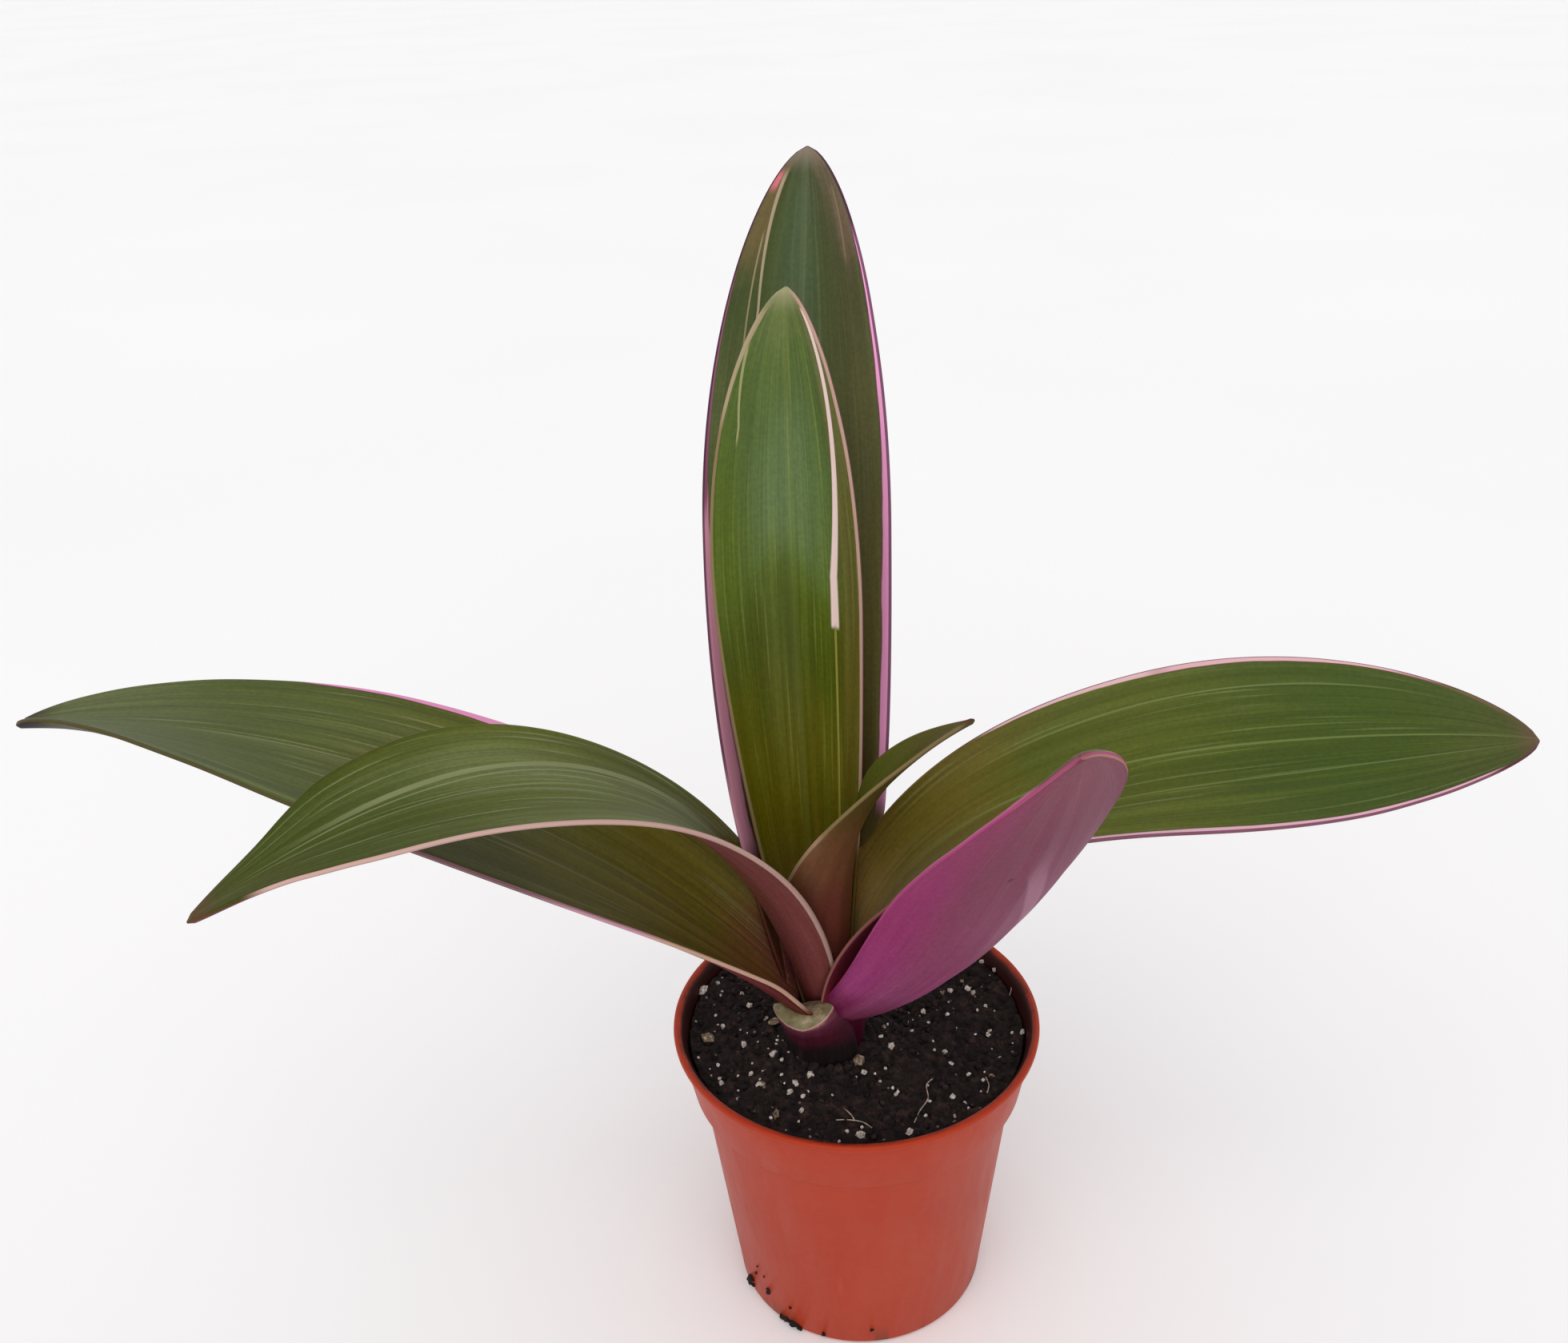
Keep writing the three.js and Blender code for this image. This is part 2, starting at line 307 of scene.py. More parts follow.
def sideShare(leaf, share, side):
    # how much of its width a blade has on one side
    slim = leaf.get("slim")
    if not slim or side != slim["side"]:
        return 1
    return slim["share"] + (1 - slim["share"]) * easeIn(share, slim["from"], slim["to"])


def bladeAxes(leaf, share):
    azimuth, rise, roll = (radians(along(leaf[key], share)) for key in ("azimuth", "rise", "roll"))
    heading = Vector((cos(rise) * cos(azimuth), cos(rise) * sin(azimuth), sin(rise)))
    side = Vector((-sin(azimuth), cos(azimuth), 0))
    side.rotate(Quaternion(heading, roll))
    return heading, side


def bladeStations(leaf):
    # the middle line of a blade with the cross-section at each row
    rows = leaf.get("rows", blade["rows"])
    azimuth = radians(leaf["azimuth"][0])
    reach = leaf["width"][0] / 2 / radians(leaf["fold"][0])
    centre = Vector((stem["x"] + reach * cos(azimuth), stem["y"] + reach * sin(azimuth), leaf["base"]))
    stations = []
    before = None
    for row in range(rows + 1):
        share = row / rows
        heading, side = bladeAxes(leaf, share)
        if before is not None:
            centre = centre + (before + heading) * (0.5 * leaf["length"] / rows)
        before = heading
        taper = 1
        thickness = blade["thickness"]
        if leaf.get("cut"):
            thickness += (leaf["cut"] - blade["thickness"]) * share ** 2
        else:
            taper = sin(pi / 2 * min(1, (1 - share) / blade["taper"]) ** blade["bluntness"])
            taper *= 1 - leaf.get("point", 0) * easeIn(share, *blade["pointed"])
        stations.append({
            "share": share,
            "centre": centre,
            "side": side,
            "up": heading.cross(side),
            "half": max(along(leaf["width"], share) / 2 * taper, blade["tip"]),
            "fold": radians(along(leaf["fold"], share)),
            "keel": leaf.get("keel", 0),
            "thickness": thickness,
        })
    if leaf.get("sheath"):
        # the sheath goes straight down from the foot, into the soil or the leaf below
        side = Vector((-sin(azimuth), cos(azimuth), 0))
        foot = dict(stations[0], side=side, up=Vector((0, 0, 1)).cross(side))
        foot["centre"] = foot["centre"] - Vector((0, 0, leaf["sheath"]))
        stations.insert(0, foot)
    return stations


def bladePoint(station, across, layer, wide, rounding, ribs):
    full = station["thickness"]
    radius = station["half"] / station["fold"]
    angle = across * wide / radius
    side = station["side"]
    up = station["up"]
    lift = radius * (1 - cos(angle)) - station["keel"] * (1 - abs(across)) ** 2
    point = station["centre"] + side * (radius * sin(angle)) + up * lift
    inward = up * cos(angle) - side * sin(angle)
    thick = full + (min(full, blade["edge"]) - full) * across ** 2
    return point + inward * (layer * thick * rounding / 2 + ribs)


def rimPlace(column, columns, wide):
    # how far across a column lies, -1 to 1, and the share of the thickness that is left there
    gaps = blade["rimGaps"]
    rim = len(gaps) - 1
    fit = min(1, wide / (2 * gaps[-1]))
    step = min(column, columns - column)
    if step < rim:
        gap = gaps[step] * fit
        across = (1 - gap / wide) * (-1 if column < columns / 2 else 1)
    else:
        inner = 1 - gaps[-1] * fit / wide
        across = inner * (2 * (column - rim) / blade["columns"] - 1)
        gap = (1 - abs(across)) * wide
    inset = min(1, gap / (gaps[-1] * fit))
    return across, max(blade["rimPinch"], sqrt(1 - (1 - inset) ** 2))


def ribHeight(offset, share, phase):
    # low ribs and a groove along the middle, calm at both ends
    calm = max(0, min(1, blade["calmTip"] * (1 - share), blade["calmFoot"] * share))
    ribs = blade["ribs"] * cos(offset * 2 * pi / blade["ribSpacing"] + phase)
    return (ribs - blade["midribGroove"] * exp(-(offset / blade["midribWidth"]) ** 2)) * calm


def twoSheets(columns, rows, cut):
    # two flat grids, one under the other, joined all round, with the layer of each point
    mesh = bmesh.new()
    bmesh.ops.create_grid(mesh, x_segments=columns, y_segments=rows, size=1)
    layerOf = mesh.verts.layers.float.new("layer")
    for vert in mesh.verts:
        vert[layerOf] = 1
    copy = bmesh.ops.duplicate(mesh, geom=mesh.verts[:] + mesh.edges[:] + mesh.faces[:])["geom"]
    for vert in only(bmesh.types.BMVert, copy):
        vert[layerOf] = -1
        vert.co.z -= 0.01
    under = only(bmesh.types.BMFace, copy)
    bmesh.ops.reverse_faces(mesh, faces=under)
    for face in under:
        face.material_index = 1
    border = [edge for edge in mesh.edges if edge.is_boundary]
    for face in bmesh.ops.bridge_loops(mesh, edges=border)["faces"]:
        face.material_index = 2 if cut and all(vert.co.y > 0.999 for vert in face.verts) else 0
    return mesh


def makeBlade(name, leaf, materials, nodes):
    stations = bladeStations(leaf)
    rows = len(stations) - 1
    columns = blade["columns"] + 2 * (len(blade["rimGaps"]) - 1)
    mesh = twoSheets(columns, rows, leaf.get("cut"))
    names = ("layer", "acrossMm", "halfWidth", "alongShare", "acrossShare")
    for key in names[1:]:
        mesh.verts.layers.float.new(key)
    layerOf, *measures = (mesh.verts.layers.float[key] for key in names)
    for vert in mesh.verts:
        column = round((vert.co.x + 1) / 2 * columns)
        station = stations[round((vert.co.y + 1) / 2 * rows)]
        share = station["share"]
        wide = station["half"] * sideShare(leaf, share, -1 if column < columns / 2 else 1)
        across, rounding = rimPlace(column, columns, wide)
        if share == 1 and not leaf.get("cut"):
            rounding = blade["rimPinch"]
        offset = across * wide
        ribs = ribHeight(offset, share, leaf.get("phase", 0))
        vert.co = bladePoint(station, across, vert[layerOf], wide, rounding, ribs) * mm
        for measure, value in zip(measures, (offset, wide, share, across)):
            vert[measure] = value
    uv = mesh.loops.layers.uv.new("bladeMap")
    shareLayer, acrossLayer = measures[2:]
    for face in mesh.faces:
        for loop in face.loops:
            loop[uv].uv = (loop.vert[acrossLayer] / 2 + 0.5, loop.vert[shareLayer])
    return finish(mesh, name, materials, nodes=nodes)


def islandsOf(mesh):
    # the groups of points that hang together, the largest last
    seen = set()
    islands = []
    for start in mesh.verts:
        if start.index in seen:
            continue
        island = [start]
        seen.add(start.index)
        for vert in island:
            for edge in vert.link_edges:
                other = edge.other_vert(vert)
                if other.index not in seen:
                    seen.add(other.index)
                    island.append(other)
        islands.append(island)
    return sorted(islands, key=len)


def cutBack(piece, cutters):
    # a blade gives way to what it wraps, and the part beyond it falls away
    mesh = bmesh.new()
    for name in cutters:
        mesh.from_mesh(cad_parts[name].data)
    bmesh.ops.remove_doubles(mesh, verts=mesh.verts, dist=weld)
    made = subtract(piece, toData(mesh, "cutter"))
    mesh = bmesh.new()
    mesh.from_mesh(made)
    mesh.verts.ensure_lookup_table()
    loose = islandsOf(mesh)[:-1]
    for island in loose:
        bmesh.ops.delete(mesh, geom=island, context="VERTS")
    mesh.to_mesh(made)
    mesh.free()
    made.shade_smooth()
    print(piece.name, "cut back,", len(loose), "loose bits dropped")


# patterns on the leaves: how often each repeats across, along and through a blade
leafGrain = {
    "wander": (2.5, 5, 1),
    "bandsAlong": 1.2,
    "veins": (74, 2.6, 1),
    "dashes": (46, 4, 1),
    "wobble": (2, 14, 1),
    "speckle": 1400,
    "depth": 0.00012,
    "steady": 0.02,           # a patch with a sharper edge than this stays in its place
}
# what a leaf has unless its own look says otherwise
outline = (88, 34, 66)
plainLook = {
    "specular": 0.22, "rough": 0.42, "bands": 12, "streak": 0.3, "dash": 0.4, "midrib": 0, "tip": 0,
    "edge": 0, "edgeStart": -1, "edgeStrength": 0.85, "edgeColour": outline,
    "shadingRamp": [], "patches": [], "stripes": [], "margins": [], "specks": [],
}
underLook = {
    "dark": (70, 26, 44), "light": (150, 88, 118), "paleVein": (168, 112, 138),
    "streak": 0.3, "dash": 0.1, "rough": 0.4, "edge": 0.3,
}


def stripe(reach, shift, width, colour, **more):
    # a line along a blade, shifted across it and widened from the first value to the second
    line = {"strength": 1, "ends": 0.01, **more}
    return {"reach": reach, "shift": shift, "width": width, "colour": colour, **line}


def margin(side, reach, width, colour, **more):
    # a band along one edge of a blade, side -1 or 1, with a thin dark line inside it if asked
    band = {"strength": 1, "inner": 0, "innerColour": outline, **more}
    return {"side": side, "reach": reach, "width": width, "colour": colour, **band}


def patch(reach, across, width, colour, soft, strength, core=0.2):
    # a soft spot of another colour
    spot = {"reach": reach, "across": across, "width": width, "colour": colour}
    return {**spot, "soft": soft, "strength": strength, "core": core}


class LeafSkin(Shader):
    # one face of a blade, painted in coats that follow its length and width
    def __init__(self, name, look):
        self.look = {**plainLook, **look}
        super().__init__(name, specular=self.look["specular"])
        self.vector = self.add("ShaderNodeUVMap", {}, uv_map="bladeMap").outputs["UV"]
        u, self.v, _ = self.axes(self.vector)
        self.offset = self.measure("acrossMm")
        self.half = self.measure("halfWidth")
        self.across = self.math("MULTIPLY_ADD", u, 2.0, -1.0)
        self.gap = self.math("SUBTRACT", self.half, self.math("ABSOLUTE", self.offset))

    def pattern(self, scale, shift, detail=2.0, rough=0.5):
        vector = self.stretch(self.vector, scale, (self.look["seed"], shift, 0))
        return self.grain(vector, detail=detail, rough=rough)

    def tint(self, colour):
        return pigment(colour)

    def addGround(self):
        look = self.look
        wander = self.pattern(leafGrain["wander"], 0, detail=4)
        wandering = self.math("ADD", self.v, self.spread(wander, 0.3, 0.7, -0.05, 0.05, "LINEAR"))
        self.paint = self.ramp(wandering, look["ramp"])
        if look["shadingRamp"]:
            # painted light and shade: the half of the blade that the light leaves, or that it falls on, gets
            # a ramp of its own
            toward = self.spread(self.across, *look["shadingFrom"])
            self.paint = self.blend(toward, self.paint, self.ramp(wandering, look["shadingRamp"]))
        for spot in look["patches"]:
            where = self.v if spot["soft"] < leafGrain["steady"] else wandering
            away = self.math("ABSOLUTE", self.math("SUBTRACT", self.across, spot["across"]))
            middle = self.spread(away, spot["width"], spot["width"] * spot["core"])
            masks = self.between(where, spot["reach"], spot["soft"])
            self.cover(self.times(*masks, middle, spot["strength"]), spot["colour"])

    def addVeins(self):
        # broad bands, fine veins and pale dashes that run with the blade
        look = self.look
        streak = look["streak"]
        bands = self.pattern((look["bands"], leafGrain["bandsAlong"], 1), 3, detail=3)
        self.veins = self.pattern(leafGrain["veins"], 7, detail=3, rough=0.6)
        dashes = self.pattern(leafGrain["dashes"], 11, detail=1)
        self.cover(self.spread(bands, 0.55, 0.3, 0.0, 0.45 * streak, "LINEAR"), look["dark"])
        self.cover(self.spread(bands, 0.52, 0.75, 0.0, 0.5 * streak, "LINEAR"), look["light"])
        fine = self.spread(self.veins, 0.32, 0.68, 1 - 0.3 * streak, 1 + 0.26 * streak, "LINEAR")
        self.paint = self.blend(1.0, self.paint, fine, "MULTIPLY")
        self.cover(self.spread(dashes, 0.6, 0.72, 0.0, look["dash"]), look["paleVein"])
        self.speckle = self.grain(self.place(), scale=leafGrain["speckle"])
        speckle = self.spread(self.speckle, 0.3, 0.7, 0.9, 1.1, "LINEAR")
        self.paint = self.blend(1.0, self.paint, speckle, "MULTIPLY")
        if look["midrib"]:
            line = self.spread(self.math("ABSOLUTE", self.offset), 0.25, 0.9, look["midrib"], 0.0)
            self.cover(line, look["paleVein"])
        if look["tip"]:
            beyond = self.spread(self.v, look["tip"] - 0.02, look["tip"] + 0.02, 0.0, 0.75)
            self.cover(beyond, look["tipColour"])

    def addStripes(self):
        for line in self.look["stripes"]:
            start, end = line["reach"]
            first, last = line["width"]
            centre = self.spread(self.v, line.get("bend", start), end, *line["shift"], "LINEAR")
            away = self.math("ABSOLUTE", self.math("SUBTRACT", self.offset, self.times(centre, self.half)))
            wide = self.spread(self.v, start, end, first / 2, last / 2, "LINEAR")
            mask = self.spread(away, self.times(wide, 0.75), self.times(wide, 1.25), line["strength"], 0.0)
            self.cover(self.times(mask, *self.between(self.v, line["reach"], line["ends"])), line["colour"])

    def addMargins(self):
        for band in self.look["margins"]:
            start, end = band["reach"]
            onSide = (1.0, 0.0) if band["side"] < 0 else (0.0, 1.0)
            shown = self.spread(self.across, -0.01, 0.01, *onSide)
            shown = self.times(shown, *self.between(self.v, band["reach"], 0.02, 0.015))
            wide = self.spread(self.v, band.get("bend", start), end, *band["width"], "LINEAR")
            wobble = self.spread(self.pattern(leafGrain["wobble"], band["side"]), 0.3, 0.7, 0.93, 1.07)
            wide = self.times(wide, wobble)
            if band["inner"]:
                line = self.spread(self.gap, wide, self.math("ADD", wide, band["inner"]), 0.85, 0.0)
                self.cover(self.times(line, shown), band["innerColour"])
            mask = self.spread(self.gap, self.times(wide, 0.9), self.times(wide, 1.1), band["strength"], 0.0)
            self.cover(self.times(mask, shown), band["colour"])

    def addEdge(self):
        look = self.look
        if look["edge"]:
            line = self.spread(self.gap, look["edge"] * 0.6, look["edge"], look["edgeStrength"], 0.0)
            opens = self.spread(self.v, look["edgeStart"] - 0.04, look["edgeStart"] + 0.04)
            self.cover(self.times(line, opens), look["edgeColour"])

    def addSpecks(self):
        for speck in self.look["specks"]:
            x = self.math("SUBTRACT", self.math("DIVIDE", self.offset, self.half), speck["across"])
            y = self.times(self.math("SUBTRACT", self.v, speck["along"]), speck["stretch"])
            away = self.math("SQRT", self.math("ADD", self.times(x, x), self.times(y, y)))
            self.cover(self.spread(away, speck["size"] * 0.5, speck["size"], 0.9, 0.0), speck["colour"])


def leafSkin(name, look):
    skin = LeafSkin(name, look)
    skin.addGround()
    skin.addVeins()
    skin.addStripes()
    skin.addMargins()
    skin.addEdge()
    skin.addSpecks()
    shine = skin.look["rough"]
    skin.roughness(skin.spread(skin.veins, 0.3, 0.7, shine - 0.06, shine + 0.08, "LINEAR"))
    height = skin.math("ADD", skin.veins, skin.times(skin.speckle, 0.25))
    return skin.done(height, leafGrain["depth"], 0.6)


# the seven leaves, with their colours from the photograph
youngRolled = {
    "base": 70, "length": 73, "width": (9, 31, 20, 5), "azimuth": (-72, -26, 5), "rise": (85, 88, 77, 19),
    "roll": (-2, -11, 3), "fold": (110, 76, 28, 31), "phase": 2.1,
    "slim": {"side": 1, "share": 0.86, "from": 0.5, "to": 0.7},
}
youngRolledFace = {
    "seed": 14, "streak": 0.3, "dash": 0.12, "rough": 0.46,
    "ramp": [(0.0, (90, 62, 32)), (0.4, (92, 84, 36)), (0.7, (94, 98, 48)), (1.0, (92, 84, 52))],
    "dark": (62, 52, 28), "light": (118, 118, 64), "paleVein": (144, 138, 92),
    "margins": [
        margin(-1, (0.0, 0.62), (0.65, 0.4), (182, 150, 122)),
        margin(-1, (0.6, 0.97), (0.35, 0.2), (136, 116, 82), strength=0.7),
        margin(1, (0.45, 0.97), (0.3, 0.25), (120, 100, 66)),
    ],
    "tip": 0.975, "tipColour": (92, 56, 52),
}
youngRolledBack = {
    "ramp": [
        (0.0, (122, 64, 60)), (0.3, (134, 78, 68)), (0.55, (136, 96, 70)), (0.74, (104, 90, 54)),
        (1.0, (92, 88, 52)),
    ],
    "dark": (84, 48, 44), "light": (118, 84, 62), "paleVein": (124, 92, 66),
    "edge": 0,
}

innerUpright = {
    "base": 68, "length": 131, "width": (13, 29, 31, 31), "azimuth": (107, 96, 80), "rise": (81, 84, 81, 84),
    "roll": (-2, -20, -16), "fold": (101, 53, 54, 33), "phase": 1.2,
}
innerUprightFace = {
    "seed": 8, "streak": 0.5, "dash": 0.24, "midrib": 0.12, "rough": 0.42,
    # the ramp is much paler at the foot than the blade's own olive-brown base: painted light against the
    # shade in the heart of the rosette
    "ramp": [
        (0.0, (150, 120, 66)), (0.16, (138, 116, 56)), (0.34, (108, 100, 36)), (0.52, (84, 92, 24)),
        (0.68, (92, 108, 46)), (0.84, (86, 104, 54)), (1.0, (104, 116, 70)),
    ],
    # painted shade: the half that the light leaves has its own darker ramp
    "shadingRamp": [(0.0, (120, 94, 50)), (0.3, (108, 96, 46)), (0.7, (104, 98, 56)), (1.0, (110, 112, 72))],
    "shadingFrom": (-0.55, -0.72),
    "dark": (58, 68, 20), "light": (120, 136, 66), "paleVein": (142, 154, 84),
    # painted sheen: a pale bluish patch up the middle of the upper blade
    "patches": [patch((0.66, 0.84), 0.0, 0.8, (118, 138, 102), soft=0.07, strength=0.45)],
    "stripes": [
        stripe((0.57, 0.975), (-0.535, -0.9), (1.7, 0.7), (244, 214, 208), bend=0.64, ends=0.004),
        stripe((0.02, 0.57), (-0.56, -0.535), (0.35, 0.5), (158, 148, 78), bend=0.3, strength=0.9),
        stripe((0.81, 0.93), (0.73, 0.9), (0.3, 0.5), (166, 162, 116), bend=0.83, strength=0.85),
    ],
    "margins": [
        margin(1, (0.0, 0.97), (0.34, 0.34), (142, 120, 88), strength=0.9),
        margin(1, (0.84, 0.975), (0.4, 0.9), (172, 154, 122), strength=0.9),
        margin(-1, (0.26, 0.99), (0.3, 0.34), (188, 152, 136), strength=0.9),
    ],
    "tip": 0.985, "tipColour": (176, 168, 130),
}

backTall = {
    "base": 66, "length": 157, "width": (17, 46, 31, 35), "azimuth": (100, 84, 80), "rise": (83, 75, 73, 59),
    "roll": (-2, -11, -8), "fold": (96, 39, 28, 26), "phase": 0.4,
    "slim": {"side": -1, "share": 0.34, "from": 0.16, "to": 0.27},
}
backTallFace = {
    "seed": 3, "streak": 0.35, "dash": 0.16, "midrib": 0.15, "rough": 0.5,
    "ramp": [
        (0.0, (104, 54, 48)), (0.15, (106, 66, 50)), (0.22, (108, 94, 52)), (0.3, (106, 100, 54)),
        (0.62, (100, 108, 68)), (0.85, (70, 80, 44)), (0.96, (72, 78, 48)), (1.0, (104, 98, 74)),
    ],
    # painted light and shade: the half in the shade between this blade and the next has its own ramp,
    # lightened to make up for that shade
    "shadingRamp": [
        (0.0, (108, 88, 56)), (0.45, (114, 108, 66)), (0.7, (102, 102, 66)), (0.9, (80, 80, 54)),
        (1.0, (98, 90, 68)),
    ],
    "shadingFrom": (0.0, -0.8),
    "dark": (50, 54, 30), "light": (102, 116, 80), "paleVein": (128, 134, 98),
    "stripes": [
        stripe((0.8, 0.97), (0.57, 0.7), (0.35, 0.65), (162, 146, 118), bend=0.82),
        stripe((0.74, 0.9), (0.69, 0.72), (0.3, 0.3), (168, 152, 116), bend=0.78, strength=0.6),
        stripe((0.87, 0.95), (-0.72, -0.8), (0.3, 0.35), (132, 118, 88), strength=0.7),
    ],
    "patches": [
        patch((0.86, 0.98), 0.88, 0.3, (122, 100, 66), soft=0.03, strength=0.6, core=0.6),
        patch((0.951, 0.97), 0.88, 0.13, (222, 116, 128), soft=0.007, strength=0.8, core=0.5),
        # painted sheen: a faint bluish patch up the middle of the upper blade
        patch((0.7, 0.96), 0.05, 0.5, (86, 108, 86), soft=0.05, strength=0.25),
        patch((0.9, 0.985), -0.9, 0.3, (124, 96, 84), soft=0.03, strength=0.5, core=0.5),
    ],
    "margins": [
        margin(
            -1, (0.275, 0.9), (1.9, 0.3), (255, 174, 216), bend=0.5, inner=0.3, innerColour=(120, 60, 104),
        ),
        margin(
            1, (0.22, 0.62), (4.0, 0.9), (224, 156, 176), bend=0.12, inner=0.3, innerColour=(150, 90, 106),
        ),
        margin(1, (0.6, 0.86), (0.8, 0.35), (150, 88, 116), strength=0.9),
    ],
    "edge": 0.34, "edgeStart": 0.3, "edgeColour": (72, 40, 62),
    "tip": 0.985, "tipColour": (150, 132, 120),
}

leftFront = {
    "base": 69, "length": 139, "width": (12, 32, 49, 33), "azimuth": (205, 223, 207),
    "rise": (78, 68, 9, -25), "roll": (-1, -6, 11), "fold": (109, -28, 37, 5), "phase": 0.9, "point": 0.3,
}
leftFrontFace = {
    "seed": 21, "bands": 17, "streak": 0.7, "dash": 0.4, "rough": 0.5, "specular": 0.06,
    "ramp": [
        (0.0, (100, 76, 30)), (0.15, (99, 86, 34)), (0.35, (88, 90, 22)), (0.6, (98, 104, 52)),
        (0.85, (78, 86, 44)), (1.0, (80, 80, 46)),
    ],
    "dark": (52, 60, 26), "light": (120, 128, 86), "paleVein": (152, 158, 120),
    # painted highlight: pale lines along the arched blade, where it turns up to the light
    "stripes": [
        stripe((0.36, 0.84), (-0.56, -0.2), (1.7, 1.3), (148, 152, 110), strength=0.6, ends=0.08),
        stripe((0.35, 0.9), (-0.42, -0.05), (0.5, 0.4), (146, 154, 116), bend=0.4, strength=0.5, ends=0.08),
        stripe((0.4, 0.9), (-0.1, 0.1), (0.5, 0.4), (138, 148, 106), bend=0.45, strength=0.45, ends=0.08),
    ],
    # painted highlight: a soft pale patch where the blade faces up to the light
    "patches": [patch((0.52, 0.76), -0.35, 0.6, (132, 140, 100), soft=0.1, strength=0.35)],
    "margins": [
        margin(
            1, (0.04, 0.93), (0.75, 0.2), (196, 162, 152), bend=0.45, inner=0.25, innerColour=(108, 72, 54),
        ),
        margin(-1, (0.0, 0.95), (0.25, 0.3), (120, 96, 66), strength=0.7),
    ],
    "tip": 0.975, "tipColour": (104, 76, 58),
}
leftFrontBack = {
    "ramp": [(0.0, (122, 70, 66)), (0.3, (118, 70, 66)), (0.5, (112, 62, 70)), (1.0, (116, 58, 80))],
    "edge": 0,
}

rightLong = {
    "base": 64.5, "length": 146, "width": (17, 33, 46, 35), "azimuth": (-1, -1, -2, -7),
    "rise": (98, 47, -13, 15, -3), "roll": (-12, 24, 26), "fold": (87, 32, 13, 24), "phase": 0.2,
}
rightLongFace = {
    "seed": 27, "bands": 15, "streak": 0.55, "dash": 0.26, "rough": 0.45,
    "ramp": [
        (0.0, (168, 130, 80)), (0.14, (160, 128, 68)), (0.3, (114, 102, 46)), (0.5, (88, 94, 38)),
        (0.8, (72, 86, 40)), (1.0, (80, 86, 48)),
    ],
    "dark": (52, 64, 22), "light": (110, 120, 62), "paleVein": (140, 150, 98),
    "stripes": [
        stripe((0.3, 0.97), (0.12, 0.06), (0.6, 0.3), (126, 138, 84), strength=0.5, ends=0.1),
        stripe((0.4, 0.85), (0.66, 0.72), (0.4, 0.3), (126, 138, 84), strength=0.5, ends=0.1),
        stripe((0.5, 0.95), (-0.34, -0.28), (0.4, 0.3), (122, 134, 84), strength=0.45, ends=0.1),
    ],
    "margins": [
        margin(1, (0.4, 0.62), (0.45, 1.15), (222, 180, 182), bend=0.38),
        margin(1, (0.6, 0.9), (1.15, 0.5), (218, 172, 176), inner=0.25, innerColour=(96, 50, 56)),
        margin(-1, (0.0, 0.3), (0.3, 0.4), (150, 98, 92), strength=0.9),
        margin(
            -1, (0.3, 0.94), (1.1, 0.5), (218, 172, 184), bend=0.6, inner=0.25, innerColour=(96, 50, 56),
        ),
        margin(1, (0.86, 0.97), (0.6, 1.0), (120, 88, 74), strength=0.6),
    ],
    "edge": 0.26, "edgeStart": 0.34, "edgeColour": (96, 40, 62),
    "tip": 0.982, "tipColour": (112, 82, 72),
}

leftBack = {
    "base": 72, "sheath": 5, "length": 146, "width": (21, 45, 42, 37), "azimuth": (195, 179, 182),
    "rise": (55, 44, 21, -1), "roll": (-23, -11, 17), "fold": (103, 11, -24, 49), "phase": 1.7,
    "slim": {"side": 1, "share": 0.8, "from": 0, "to": 0.12},
}
leftBackFace = {
    "seed": 33, "bands": 16, "streak": 0.7, "dash": 0.42, "rough": 0.46,
    "ramp": [
        (0.0, (136, 80, 70)), (0.1, (138, 100, 62)), (0.2, (124, 112, 54)), (0.36, (114, 110, 46)),
        (0.5, (94, 98, 44)), (0.75, (84, 94, 48)), (1.0, (104, 110, 74)),
    ],
    "dark": (56, 60, 24), "light": (118, 122, 70), "paleVein": (146, 144, 100),
    "stripes": [
        stripe((0.1, 0.6), (0.35, 0.4), (0.4, 0.4), (150, 142, 96), strength=0.6, ends=0.08),
        stripe((0.25, 0.8), (0.0, 0.05), (0.4, 0.35), (140, 140, 96), strength=0.5, ends=0.08),
    ],
    "patches": [patch((-0.1, 0.11), -0.9, 1.0, (116, 62, 68), soft=0.06, strength=0.6, core=0.4)],
    "margins": [
        margin(-1, (0.4, 0.72), (1.9, 0.5), (226, 148, 186), inner=0.3),
        margin(1, (0.03, 0.3), (0.45, 0.6), (196, 162, 140), inner=0.2, innerColour=(104, 60, 50)),
        margin(1, (0.28, 0.66), (0.45, 0.3), (200, 150, 166), strength=0.9),
    ],
    "edge": 0.2, "edgeStart": 0.4, "edgeStrength": 0.6, "edgeColour": (80, 62, 52),
    "tip": 0.975, "tipColour": (62, 54, 44),
}
leftBackBack = {
    "ramp": [
        (0.0, (86, 50, 42)), (0.35, (112, 62, 66)), (0.6, (104, 70, 62)), (0.8, (74, 76, 44)),
        (0.96, (74, 74, 46)), (1.0, (40, 36, 28)),
    ],
    "edgeStart": 0.4, "edgeColour": (88, 82, 54), "specular": 0.03,
}

frontRight = {
    "base": 69, "sheath": 10, "length": 114, "width": (16, 44, 43, 25), "azimuth": (-40, -74, -93),
    "rise": (38, 58, 65, 51), "roll": (-19, 5, 29), "fold": (77, 56, 32, 5), "phase": 2.6,
}
frontRightFace = {
    "seed": 41, "streak": 0.5, "dash": 0.35, "rough": 0.45,
    "ramp": [(0.0, (112, 52, 60)), (0.3, (112, 60, 66)), (0.55, (92, 86, 44)), (1.0, (90, 92, 60))],
    "dark": (56, 64, 30), "light": (120, 126, 76), "paleVein": (150, 152, 108),
    "margins": [
        margin(1, (0.0, 0.95), (0.4, 0.6), (176, 98, 132), bend=0.4, strength=0.9),
        margin(-1, (0.0, 0.4), (0.2, 0.3), (126, 72, 72), strength=0.9),
        margin(-1, (0.4, 0.95), (0.4, 0.6), (176, 98, 132), strength=0.9),
    ],
    "tip": 0.97, "tipColour": (120, 82, 78),
}
